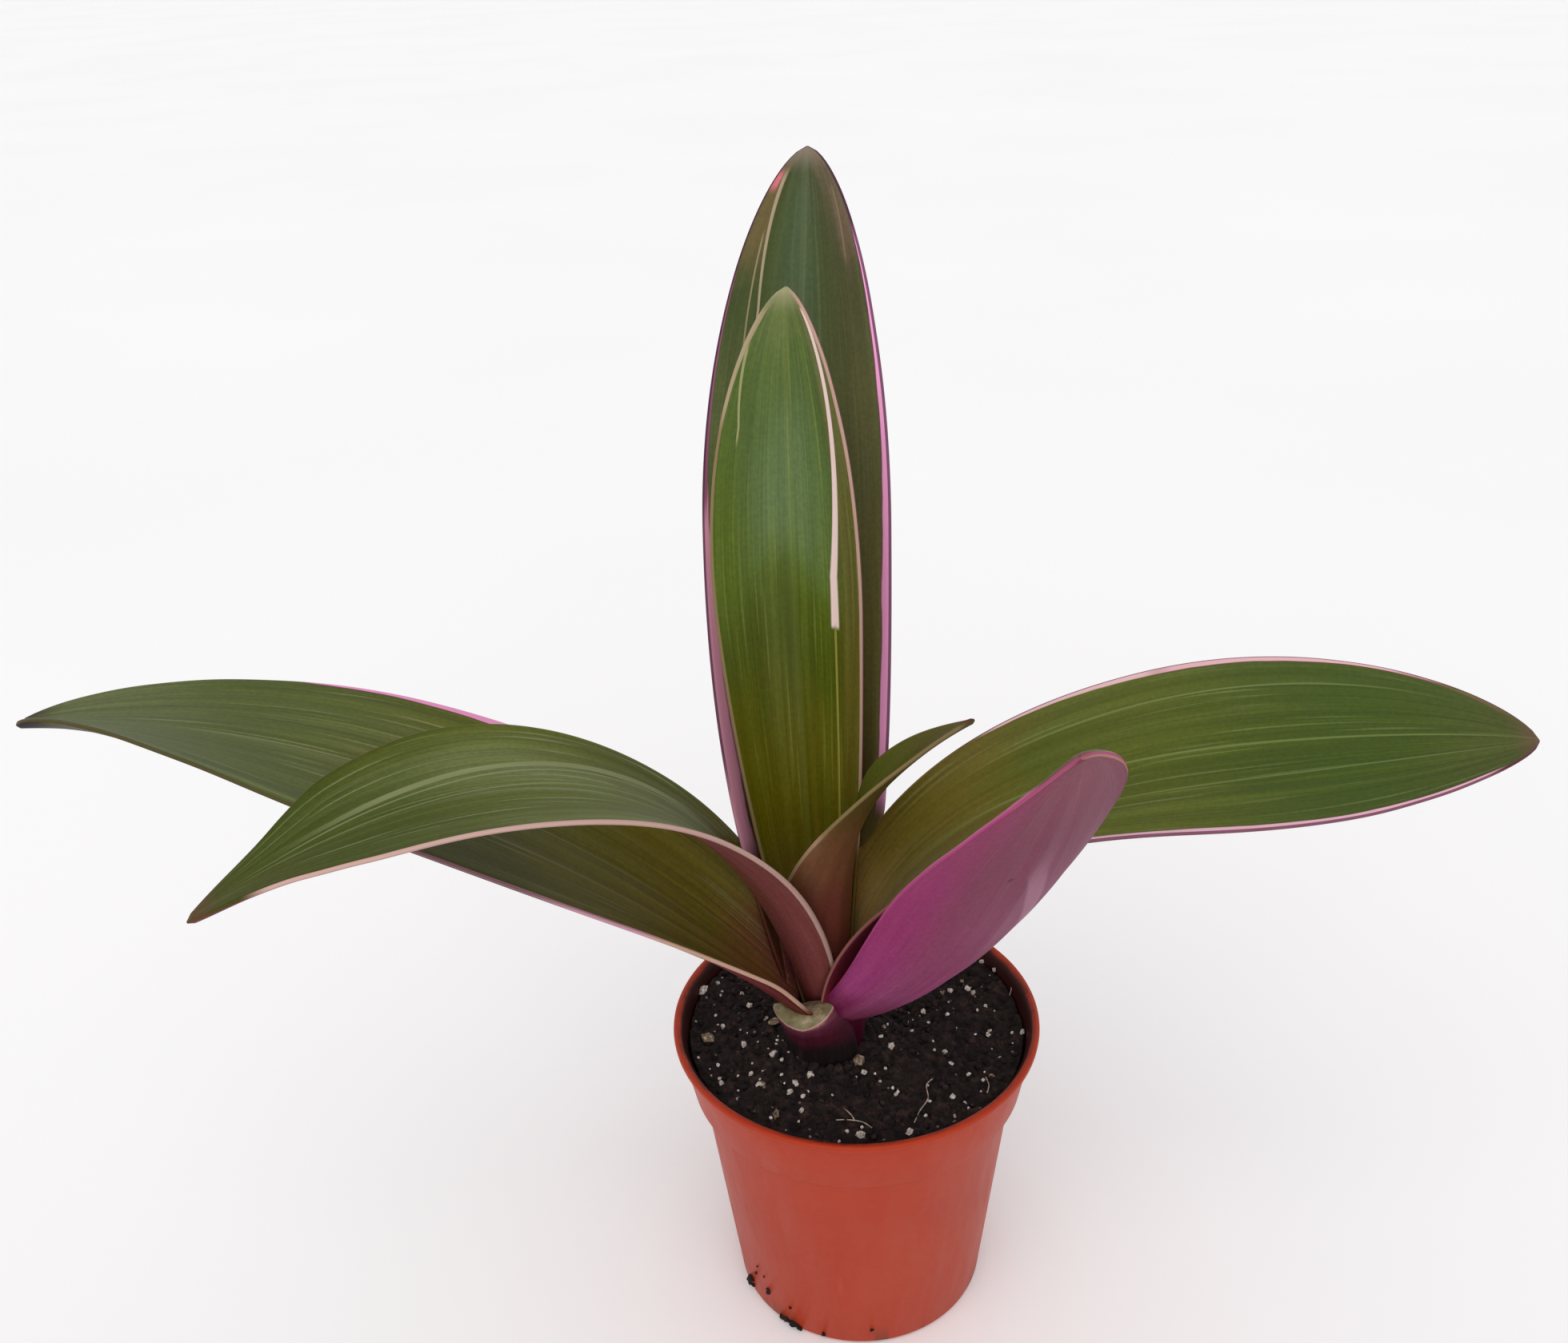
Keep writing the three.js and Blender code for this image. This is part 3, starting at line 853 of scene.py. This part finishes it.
frontRightBack = {
    "streak": 0.35, "dash": 0.08, "rough": 0.5, "specular": 0.13,
    "ramp": [
        (0.0, (84, 38, 52)), (0.06, (126, 66, 90)), (0.16, (140, 76, 108)), (0.45, (128, 66, 92)),
        (0.75, (118, 60, 80)), (1.0, (124, 66, 80)),
    ],
    # painted light: the half turned up to the light has a brighter magenta ramp of its own
    "shadingRamp": [(0.0, (108, 44, 70)), (0.15, (150, 68, 114)), (0.6, (142, 56, 100)), (1.0, (128, 60, 84))],
    "shadingFrom": (-0.35, -0.9),
    "dark": (98, 42, 68), "light": (140, 80, 106), "paleVein": (152, 98, 122),
    # painted sheen: a pale streak across the underside
    "stripes": [stripe((0.2, 0.66), (0.74, 0.08), (2.4, 3.6), (168, 120, 140), strength=0.55, ends=0.09)],
    "specks": [
        {"across": -0.18, "along": 0.67, "stretch": 6, "size": 0.035, "colour": (70, 24, 36)},
        {"across": 0.43, "along": 0.41, "stretch": 6, "size": 0.026, "colour": (70, 24, 36)},
    ],
    "margins": [
        margin(1, (0.8, 1.0), (0.3, 0.8), (178, 128, 112), strength=0.8),
        margin(-1, (0.9, 1.0), (0.3, 0.6), (168, 110, 112), strength=0.6),
        margin(1, (0.0, 0.07), (1.3, 0.8), (150, 92, 108), strength=0.7),
    ],
    "edge": 0.25, "edgeColour": (168, 72, 120),
}

# from the heart outwards, since each leaf gives way to those inside it
leaves = [
    ("young_rolled", youngRolled, youngRolledFace, youngRolledBack, "leaf_olive"),
    ("inner_upright", innerUpright, innerUprightFace, {"edgeStart": 0.34}, "leaf_green"),
    ("back_tall", backTall, backTallFace, {}, "leaf_dusky"),
    ("left_front", leftFront, leftFrontFace, leftFrontBack, "leaf_dusky"),
    ("right_long", rightLong, rightLongFace, {"edgeStart": 0.34}, "leaf_green"),
    ("left_back", leftBack, leftBackFace, leftBackBack, "leaf_dusky"),
    ("front_right", frontRight, frontRightFace, frontRightBack, "leaf_purple"),
]
underMargin = 0.8
inside = ["stem", "old_leaf_stub"]
for key, leaf, face, back, slotName in leaves:
    name = "blade_" + key
    under = {
        **underLook,
        "seed": face["seed"] + 0.5,
        "ramp": [(0.0, (92, 44, 46)), (0.35, (112, 52, 72)), (1.0, (120, 62, 90))],
        "margins": [dict(band, strength=underMargin) for band in face["margins"]],
        **back,
    }
    skins = [leafSkin(name + "_face", face), leafSkin(name + "_back", under)]
    piece = makeBlade(name, leaf, skins, ["leaf_" + key])
    cutBack(piece, inside)
    inside.append("leaf_" + key)
print("blades made")

# the old leaf that was cut off: a thick foot with a pale cut face
stub = {
    "base": 60.5, "sheath": 2, "length": 14.4, "width": (20, 20, 17, 11.6), "azimuth": (240, 237, 256),
    "rise": (88, 88, 69), "roll": (0, 4, 11), "fold": (78, 75, 44), "keel": 0.8, "cut": 5.4, "rows": 30,
}
stubBack = {
    **underLook,
    "seed": 50, "streak": 0.15, "dash": 0.0, "rough": 0.6,
    # painted shade: near black at the foot where it meets the soil, rising through its own maroon to the
    # pale cut rim
    "ramp": [
        (0.0, (26, 16, 16)), (0.3, (44, 24, 28)), (0.6, (72, 38, 48)), (0.82, (96, 52, 66)),
        (0.9, (116, 68, 78)), (0.96, (190, 142, 132)), (1.0, (210, 168, 152)),
    ],
}
stubFace = {
    "seed": 52, "rough": 0.5,
    "ramp": [(0.0, (84, 66, 40)), (1.0, (150, 138, 100))],
    "dark": (72, 62, 34), "light": (166, 154, 116), "paleVein": (178, 166, 130),
}
stubCut = {
    "flesh": [(0.34, (98, 90, 54)), (0.5, (124, 112, 76)), (0.66, (162, 144, 114))],
    "fibre": (92, 84, 48),
    "depth": 0.0003,
}


def cutSkin():
    skin = Shader("stub_cut", rough=0.6)
    place = skin.place()
    fibre = skin.grain(place, scale=900, detail=3)
    skin.paint = skin.ramp(skin.grain(place, scale=260), stubCut["flesh"])
    skin.cover(skin.spread(fibre, 0.5, 0.72, 0.0, 0.5), stubCut["fibre"])
    return skin.done(fibre, stubCut["depth"])


stubSkins = [leafSkin("stub_face", stubFace), leafSkin("stub_back", stubBack), cutSkin()]
makeBlade("old_leaf_foot", stub, stubSkins, ["old_leaf_stub"])
print("old leaf made")

# the stem, ringed where old leaves have come away
stemLook = {
    "flesh": [(0.3, (66, 26, 38)), (0.55, (108, 46, 66)), (0.75, (128, 78, 74))],
    "ring": (52, 22, 28),
    "depth": 0.0003,
}


def stemSkin():
    skin = Shader("stem_skin", rough=0.55)
    place = skin.place()
    rings = skin.grain(skin.stretch(place, (120, 120, 900)), detail=3)
    blotch = skin.grain(place, scale=300, detail=3)
    skin.paint = skin.ramp(blotch, stemLook["flesh"])
    skin.cover(skin.spread(rings, 0.5, 0.7, 0.0, 0.6), stemLook["ring"])
    return skin.done(rings, stemLook["depth"])


def makeStem():
    profile = stem["profile"]
    profile = [(0, profile[0][1]), *profile, (0, profile[-1][1])]
    mesh = turned(profile, stem["sides"], stem["x"] * mm, stem["y"] * mm)
    finish(mesh, "stem_core", [stemSkin()], nodes=["stem"])


makeStem()
print("stem made")

# the nursery pot, as outside radius and height up one side, over the lip and down the inside
pot = {
    "profile": [
        (23.4, 0), (24.4, 0.3), (24.8, 0.8), (30.2, 48.45), (30.35, 48.75), (31.8, 49.35), (32, 49.7),
        (34, 60.4), (34.7, 60.7), (34.95, 60.9), (35, 61.3), (34.95, 61.75), (34.7, 61.97), (34.3, 62),
        (33.9, 61.97), (33.65, 61.75), (32.8, 60.4), (30.8, 49.5), (29, 48.6), (23.8, 2.2), (23.3, 1.6),
    ],
    "sides": 144,
    "floor": 1.6,
    "sharp": 50,
    "holes": 6,
    "holeRadius": 2.6,
    "holeCircle": 16,
    "holeSides": 32,
    "drill": 0.01,
}
potLook = {
    "plastic": [(0.35, (164, 48, 20)), (0.65, (170, 54, 24))],
    "haze": (180, 78, 50),
    "scuff": (190, 110, 86),
    "paintedInnerShade": (84, 16, 10),
    "paintedInnerShadeHeight": (0.0619, 0.061),
    "paintedDeepShade": (38, 14, 11),
    "paintedDeepShadeHeight": (0.0634, 0.0622),
    "dust": (96, 52, 38),
    "dustHeight": 0.007,
    "depth": 0.00006,
}


def potSkin(name, inside=False):
    skin = Shader(name, specular=0.16)
    place = skin.place()
    height = skin.axes(place)[2]
    broad = skin.grain(place, scale=22)
    fine = skin.grain(place, scale=700, detail=3)
    scuff = skin.grain(skin.stretch(place, (160, 160, 40)), detail=4, rough=0.65)
    skin.paint = skin.ramp(broad, potLook["plastic"])
    skin.cover(skin.spread(fine, 0.3, 0.7, 0.0, 0.14, "LINEAR"), potLook["haze"])
    skin.cover(skin.spread(scuff, 0.62, 0.8, 0.0, 0.25), potLook["scuff"])
    if inside:
        # painted shade inside: darker just under the lip, and near black down the whole inner wall, patchy
        # near the top
        skin.cover(skin.spread(height, *potLook["paintedInnerShadeHeight"], 0.0, 0.9), potLook["paintedInnerShade"])
        paintedDeepShade = skin.spread(skin.math("ADD", height, skin.times(scuff, 0.002)), *potLook["paintedDeepShadeHeight"])
        skin.cover(skin.times(paintedDeepShade, 0.92), potLook["paintedDeepShade"])
    low = skin.spread(height, potLook["dustHeight"], 0.0, 0.0, 0.6)
    skin.cover(skin.times(skin.spread(scuff, 0.5, 0.62), low), potLook["dust"])
    skin.roughness(skin.spread(scuff, 0.3, 0.7, 0.36, 0.5, "LINEAR"))
    return skin.done(fine, potLook["depth"], 0.5)


def drainHoles():
    mesh = bmesh.new()
    radius = pot["holeRadius"] * mm
    circle = pot["holeCircle"] * mm
    for index in range(pot["holes"]):
        turn = 2 * pi * index / pot["holes"]
        spot = Matrix.Translation((circle * cos(turn), circle * sin(turn), 0))
        bmesh.ops.create_cone(
            mesh, cap_ends=True, segments=pot["holeSides"], radius1=radius, radius2=radius,
            depth=pot["drill"], matrix=spot,
        )
    return toData(mesh, "drill")


def makePot():
    mesh = turned([(0, 0), *pot["profile"], (0, pot["floor"])], pot["sides"])
    bmesh.ops.recalc_face_normals(mesh, faces=mesh.faces)
    for face in mesh.faces:
        middle = face.calc_center_median()
        if face.normal.dot(Vector((middle.x, middle.y, 0))) < 0 and middle.z > pot["floor"] * mm:
            face.material_index = 1
    skins = [potSkin("pot_plastic_skin"), potSkin("pot_inside_skin", inside=True)]
    piece = finish(mesh, "nursery_pot", skins, nodes=["pot"])
    subtract(piece, drainHoles()).set_sharp_from_angle(angle=radians(pot["sharp"]))


makePot()
print("pot made")

# the potting soil: a crumbly top between the walls, heaped a little round the stem
soil = {
    "level": 59,
    "lump": 0.9,
    "mound": 4,
    "moundRadius": 15,
    "sunk": 0.25,
    "top": 32.03,
    "sides": [(30.35, 49.8), (28.55, 48.6), (23.15, 1.9)],
    "cells": 210,
}
soilLook = {
    "earth": [(0.3, (14, 9, 9)), (0.5, (32, 22, 20)), (0.68, (62, 44, 38)), (0.85, (96, 74, 60))],
    "dry": (46, 34, 30),
    "fleck": (150, 132, 116),
    "depth": 0.0012,
}


def soilHeight(x, y):
    # the same gentle lumps as in the solid
    broad = sin(0.31 * x + 1.3) * cos(0.27 * y - 0.6)
    lumps = sin(0.93 * x + 0.41 * y + 2) * sin(1.07 * y - 0.36 * x + 0.7)
    crumbs = sin(2.1 * x - 1.3 * y) * sin(2.4 * y + 1.1 * x + 1)
    away = sqrt((x - stem["x"]) ** 2 + (y - stem["y"]) ** 2)
    mound = soil["mound"] * exp(-(away / soil["moundRadius"]) ** 2)
    return soil["level"] + mound + soil["lump"] * (0.35 * broad + 0.4 * lumps + 0.25 * crumbs)


def soilRelief(x, y, calm):
    # a rough crumbly surface with a few pits, calm beside the wall
    spot = Vector((x, y, 0))
    rough = noise.fractal(spot * 0.55, 1.0, 2.2, 4) * 0.55 + noise.noise(spot * 2.3) * 0.3
    pits = max(0, noise.noise(spot * 0.9 + Vector((7, 3, 1))) - 0.25) * 1.6
    return (rough - pits) * calm - soil["sunk"]


def soilSkin(name):
    skin = Shader(name, rough=0.9, specular=0.25)
    place = skin.place()
    crumb = skin.grain(place, scale=520, detail=5, rough=0.65)
    patches = skin.grain(place, scale=90, detail=3)
    skin.paint = skin.ramp(crumb, soilLook["earth"])
    skin.cover(skin.spread(patches, 0.5, 0.75, 0.0, 0.4), soilLook["dry"])
    fleck = skin.cells(place, 620)
    chosen = skin.spread(skin.axes(fleck["Color"])[0], 0.86, 0.9)
    skin.cover(skin.times(skin.spread(fleck["Distance"], 0.2, 0.12), chosen, 0.7), soilLook["fleck"])
    return skin.done(crumb, soilLook["depth"])


def makeSoil():
    mesh = bmesh.new()
    bmesh.ops.create_grid(mesh, x_segments=soil["cells"], y_segments=soil["cells"], size=1)
    for vert in mesh.verts:
        # the square sheet is drawn out to a round one
        x, y = vert.co.x, vert.co.y
        reach = max(abs(x), abs(y))
        length = sqrt(x * x + y * y) or 1
        x, y = (part / length * reach * soil["top"] for part in (x, y))
        height = soilHeight(x, y)
        vert.co = Vector((x, y, height + soilRelief(x, y, min(1, (1 - reach) * 12)))) * mm
    rim = [edge for edge in mesh.edges if edge.is_boundary]
    before = soil["top"]
    for radius, height in soil["sides"]:
        made = bmesh.ops.extrude_edge_only(mesh, edges=rim)["geom"]
        verts = only(bmesh.types.BMVert, made)
        rim = [edge for edge in only(bmesh.types.BMEdge, made) if edge.is_boundary]
        bmesh.ops.scale(mesh, vec=(radius / before, radius / before, 0), verts=verts)
        bmesh.ops.translate(mesh, vec=(0, 0, height * mm), verts=verts)
        before = radius
    bmesh.ops.contextual_create(mesh, geom=rim)
    finish(mesh, "potting_soil", [soilSkin("soil_skin")], nodes=["soil"])


makeSoil()
print("soil made")


def onSoil(spot):
    # where the line of sight through a spot of the photograph meets the soil
    line = sightLine(spot)
    height = soil["level"]
    for _ in range(6):
        point = (eyePlace + line * ((height * mm - eyePlace.z) / line.z)) / mm
        height = soilHeight(point.x, point.y)
    return Vector((point.x, point.y, height))


# what lies in the soil: seen grains at their places in the photograph with their size, the rest strewn
litter = {
    "grains": [
        (936, 1257, 1.3), (927, 1242, 1.0), (904, 1283, 1.3), (897, 1228, 1.0), (879, 1238, 1.9),
        (930, 1305, 1.6), (967, 1317, 1.6), (939, 1342, 1.1), (902, 1354, 1.1), (948, 1356, 1.1),
        (994, 1353, 1.6), (987, 1365, 1.5), (1013, 1343, 1.3), (1080, 1340, 1.3), (1101, 1296, 0.8),
        (1114, 1308, 1.6), (1120, 1368, 1.1),
        (1181, 1315, 1.1), (1189, 1329, 0.8), (1190, 1371, 1.1), (1227, 1202, 1.3), (1243, 1213, 0.9),
        (1258, 1221, 1.1), (1188, 1238, 1.2), (1210, 1236, 1.2), (1216, 1241, 1.0), (1185, 1268, 0.9),
        (1232, 1258, 0.7), (1278, 1289, 1.2), (1235, 1293, 1.1), (1211, 1343, 1.0), (1229, 1350, 0.8),
        (1075, 1418, 1.7), (1138, 1415, 1.5), (1002, 1388, 1.2), (1004, 1370, 1.0), (923, 1374, 1.0),
        (1154, 1264, 0.9),
    ],
    "perlite": [(0.3, (130, 116, 104)), (0.5, (194, 182, 170)), (0.7, (236, 228, 218))],
    "grainSize": 1.15,        # against the size as seen, beside its broken corner
    "cornerSize": 0.65,
    "cornerAway": 0.35,
    "flat": 0.7,
    "strewn": 150,
    "strewnSize": (0.35, 0.9),
    "chips": [(885, 1299, 3.0, 0.3), (1072, 1328, 2.6, 0.6), (970, 1394, 2.2, 0.4), (969, 1278, 2.6, 0.35)],
    "bark": [(0.3, (70, 52, 42)), (0.5, (126, 104, 84)), (0.7, (188, 168, 146))],
    "chipLift": 0.3,
    "strewnChips": 12,
    "chipSize": (0.6, 1.6),
    "heaped": [
        (1000, 1322, 1.8), (1008, 1328, 2.2), (1017, 1333, 2.0), (1027, 1336, 2.4), (1038, 1337, 2.0),
        (1048, 1336, 2.4), (1058, 1334, 2.0), (1066, 1328, 1.8), (1072, 1320, 1.6), (995, 1314, 1.6),
        (1013, 1336, 1.4), (1043, 1341, 1.5),
    ],
    "crumbs": 520,
    "crumbSize": (0.5, 1.5),
    "reach": 31.2,
    "rootlets": [
        [(1045, 1402), (1060, 1399), (1078, 1403), (1090, 1412)],
        [(1143, 1405), (1150, 1390), (1160, 1375), (1158, 1358), (1166, 1350)],
        [(1056, 1388), (1064, 1395), (1068, 1402)],
        [(1258, 1228), (1264, 1236), (1262, 1246)],
        [(1232, 1348), (1236, 1358), (1234, 1368)],
    ],
    "rootletRadius": 0.11,
    "rootletLift": 0.35,
    "pits": 0.0003,
    "root": [(0.3, (126, 108, 94)), (0.7, (190, 172, 154))],
}
draw = random.Random(11)


def anyWay():
    return Vector([draw.uniform(-1, 1) for _ in range(3)])


def lump(mesh, point, size, squash=0.75, rings=2, rough=0.3):
    # one uneven grain, turned at random
    turn = Quaternion(anyWay().normalized(), draw.uniform(0, 6))
    shape = Matrix.Diagonal((size / 2, size / 2 * draw.uniform(0.7, 1), size / 2 * squash, 1))
    matrix = Matrix.Translation(point * mm) @ turn.to_matrix().to_4x4() @ Matrix.Scale(mm, 4) @ shape
    made = bmesh.ops.create_icosphere(mesh, subdivisions=rings, radius=1, matrix=matrix)
    centre = point * mm
    for vert in made["verts"]:
        vert.co = centre + (vert.co - centre) * (1 + draw.uniform(-rough, rough))


def strewnSpot():
    turn = draw.uniform(0, 2 * pi)
    reach = sqrt(draw.uniform(0, 1)) * litter["reach"]
    x, y = reach * cos(turn), reach * sin(turn)
    return Vector((x, y, soilHeight(x, y)))


def grainSkin(name, stops):
    skin = Shader(name, rough=0.85, specular=0.3)
    pitted = skin.grain(skin.place(), scale=1600, detail=4)
    skin.paint = skin.ramp(pitted, stops)
    return skin.done(pitted, litter["pits"])


def makePerlite():
    mesh = bmesh.new()
    flat = litter["flat"]
    for x, y, size in litter["grains"]:
        point = onSoil((x, y))
        lump(mesh, point, size * litter["grainSize"], squash=flat, rings=1)
        corner = point + anyWay() * size * litter["cornerAway"]
        lump(mesh, corner, size * litter["cornerSize"], squash=flat, rings=1)
    for _ in range(litter["strewn"]):
        lump(mesh, strewnSpot(), draw.uniform(*litter["strewnSize"]), rings=1)
    skin = grainSkin("perlite_skin", litter["perlite"])
    finish(mesh, "perlite_grains", [skin], smooth=False)


def makeCrumbs():
    mesh = bmesh.new()
    for x, y, size in litter["heaped"]:
        lump(mesh, onSoil((x, y)), size)
    for _ in range(litter["crumbs"]):
        lump(mesh, strewnSpot(), draw.uniform(*litter["crumbSize"]))
    finish(mesh, "soil_crumbs", [soilSkin("crumb_skin")])


def makeChips():
    mesh = bmesh.new()
    lift = Vector((0, 0, litter["chipLift"]))
    for x, y, size, squash in litter["chips"]:
        lump(mesh, onSoil((x, y)) + lift, size, squash=squash, rough=0.25)
    for _ in range(litter["strewnChips"]):
        lump(mesh, strewnSpot(), draw.uniform(*litter["chipSize"]), squash=0.3, rough=0.25)
    finish(mesh, "bark_chips", [grainSkin("bark_skin", litter["bark"])])


makePerlite()
makeCrumbs()
makeChips()


def tube(mesh, points, radius, sides=6):
    # a thin round thread through the points, closed at both ends
    ring = None
    for index, point in enumerate(points):
        ahead = points[min(index + 1, len(points) - 1)] - points[max(index - 1, 0)]
        now = Matrix.Translation(point) @ ahead.to_track_quat("Z", "Y").to_matrix().to_4x4()
        if ring is None:
            bottom = bmesh.ops.create_circle(mesh, cap_ends=True, segments=sides, radius=radius, matrix=now)
            verts = bottom["verts"]
            edges = mesh.edges
        else:
            made = bmesh.ops.extrude_edge_only(mesh, edges=ring)["geom"]
            verts = only(bmesh.types.BMVert, made)
            edges = only(bmesh.types.BMEdge, made)
            bmesh.ops.transform(mesh, matrix=now @ before.inverted(), verts=verts)
        ring = [edge for edge in edges if all(vert in verts for vert in edge.verts)]
        before = now
    bmesh.ops.contextual_create(mesh, geom=ring)


def smoothLine(points, steps=6):
    # rounds the corners of a line of points
    line = []
    for index in range(len(points) - 1):
        before = points[max(index - 1, 0)]
        first, second = points[index], points[index + 1]
        after = points[min(index + 2, len(points) - 1)]
        for step in range(steps):
            t = step / steps
            pull = (second - before) * t + (2 * before - 5 * first + 4 * second - after) * t ** 2
            line.append((2 * first + pull + (3 * first - before - 3 * second + after) * t ** 3) / 2)
    line.append(points[-1])
    return line


def makeRootlets():
    mesh = bmesh.new()
    lift = Vector((0, 0, litter["rootletLift"]))
    for path in litter["rootlets"]:
        points = [(onSoil(spot) + lift) * mm for spot in path]
        tube(mesh, smoothLine(points), litter["rootletRadius"] * mm)
    finish(mesh, "rootlets", [grainSkin("rootlet_skin", litter["root"])])


makeRootlets()
print("litter made")

# crumbs of soil that stick to the pot near its foot, at their places in the photograph
smudges = {
    "spots": [
        (941, 1597, 2.2), (939, 1602, 1.8), (943, 1606, 1.5), (946, 1591, 0.9), (961, 1612, 1.2),
        (962, 1615, 1.4), (955, 1596, 0.6), (988, 1634, 0.8), (1090, 1662, 1.0), (980, 1648, 1.8),
        (986, 1652, 1.8), (994, 1655, 2.2), (1000, 1658, 1.6), (1030, 1667, 1.2), (947, 1583, 0.7),
    ],
    "wall": [(24.8, 0.8), (30.2, 48.6)],
    "search": (0.1, 0.4, 0.0001),
    "lowest": 0.7,
}


def onWall(spot):
    # where the line of sight through a spot of the photograph meets the pot's side
    line = sightLine(spot)
    (low, foot), (high, top) = smudges["wall"]
    slope = (high - low) / (top - foot)
    step, far, pace = smudges["search"]
    while step < far:
        point = (eyePlace + line * step) / mm
        if sqrt(point.x ** 2 + point.y ** 2) <= low + slope * (point.z - foot):
            return point
        step += pace
    return point


def makeSmudges():
    mesh = bmesh.new()
    for x, y, size in smudges["spots"]:
        point = onWall((x, y))
        point.z = max(point.z, size * smudges["lowest"])
        lump(mesh, point, size, squash=0.5)
    finish(mesh, "pot_crumbs", [soilSkin("pot_crumb_skin")])


makeSmudges()
print("pot crumbs made")

# floor, light and backdrop
studio = {
    "floor": 9.0,
    "paper": [(0.3, (249, 247, 245)), (0.7, (251, 249, 247))],
    "sky": (250, 251, 255),
    "world": 0.78,
    "sun": 1.25,
    "sunWidth": 75,
    "sunFrom": (-0.15, -0.9, 0.8),
}


def makeFloor():
    mesh = bmesh.new()
    bmesh.ops.create_grid(mesh, x_segments=2, y_segments=2, size=studio["floor"])
    skin = Shader("floor_skin", rough=0.8, specular=0.1)
    paper = skin.ramp(skin.grain(skin.place(), scale=3), studio["paper"])
    skin.join(paper, skin.surface.inputs["Base Color"])
    data = toData(mesh, "floor")
    data.materials.append(skin.material)
    floor = addObject("floor", data)


def makeSun():
    # the wide soft light of a bright room, from the front and above
    lamp = bpy.data.lights.new("soft_sun", "SUN")
    lamp.energy = studio["sun"]
    lamp.angle = radians(studio["sunWidth"])
    holder = addObject("soft_sun", lamp)
    holder.rotation_mode = "QUATERNION"
    holder.rotation_quaternion = Vector(studio["sunFrom"]).to_track_quat("Z", "Y")


def makeSky():
    world = bpy.data.worlds.new("studio")
    world.use_nodes = True
    light = world.node_tree.nodes["Background"].inputs
    light["Color"].default_value = srgb(*studio["sky"])
    light["Strength"].default_value = studio["world"]
    bpy.context.scene.world = world


makeFloor()
makeSky()
makeSun()
bpy.context.scene.view_settings.view_transform = "Standard"
print("floor and light made")
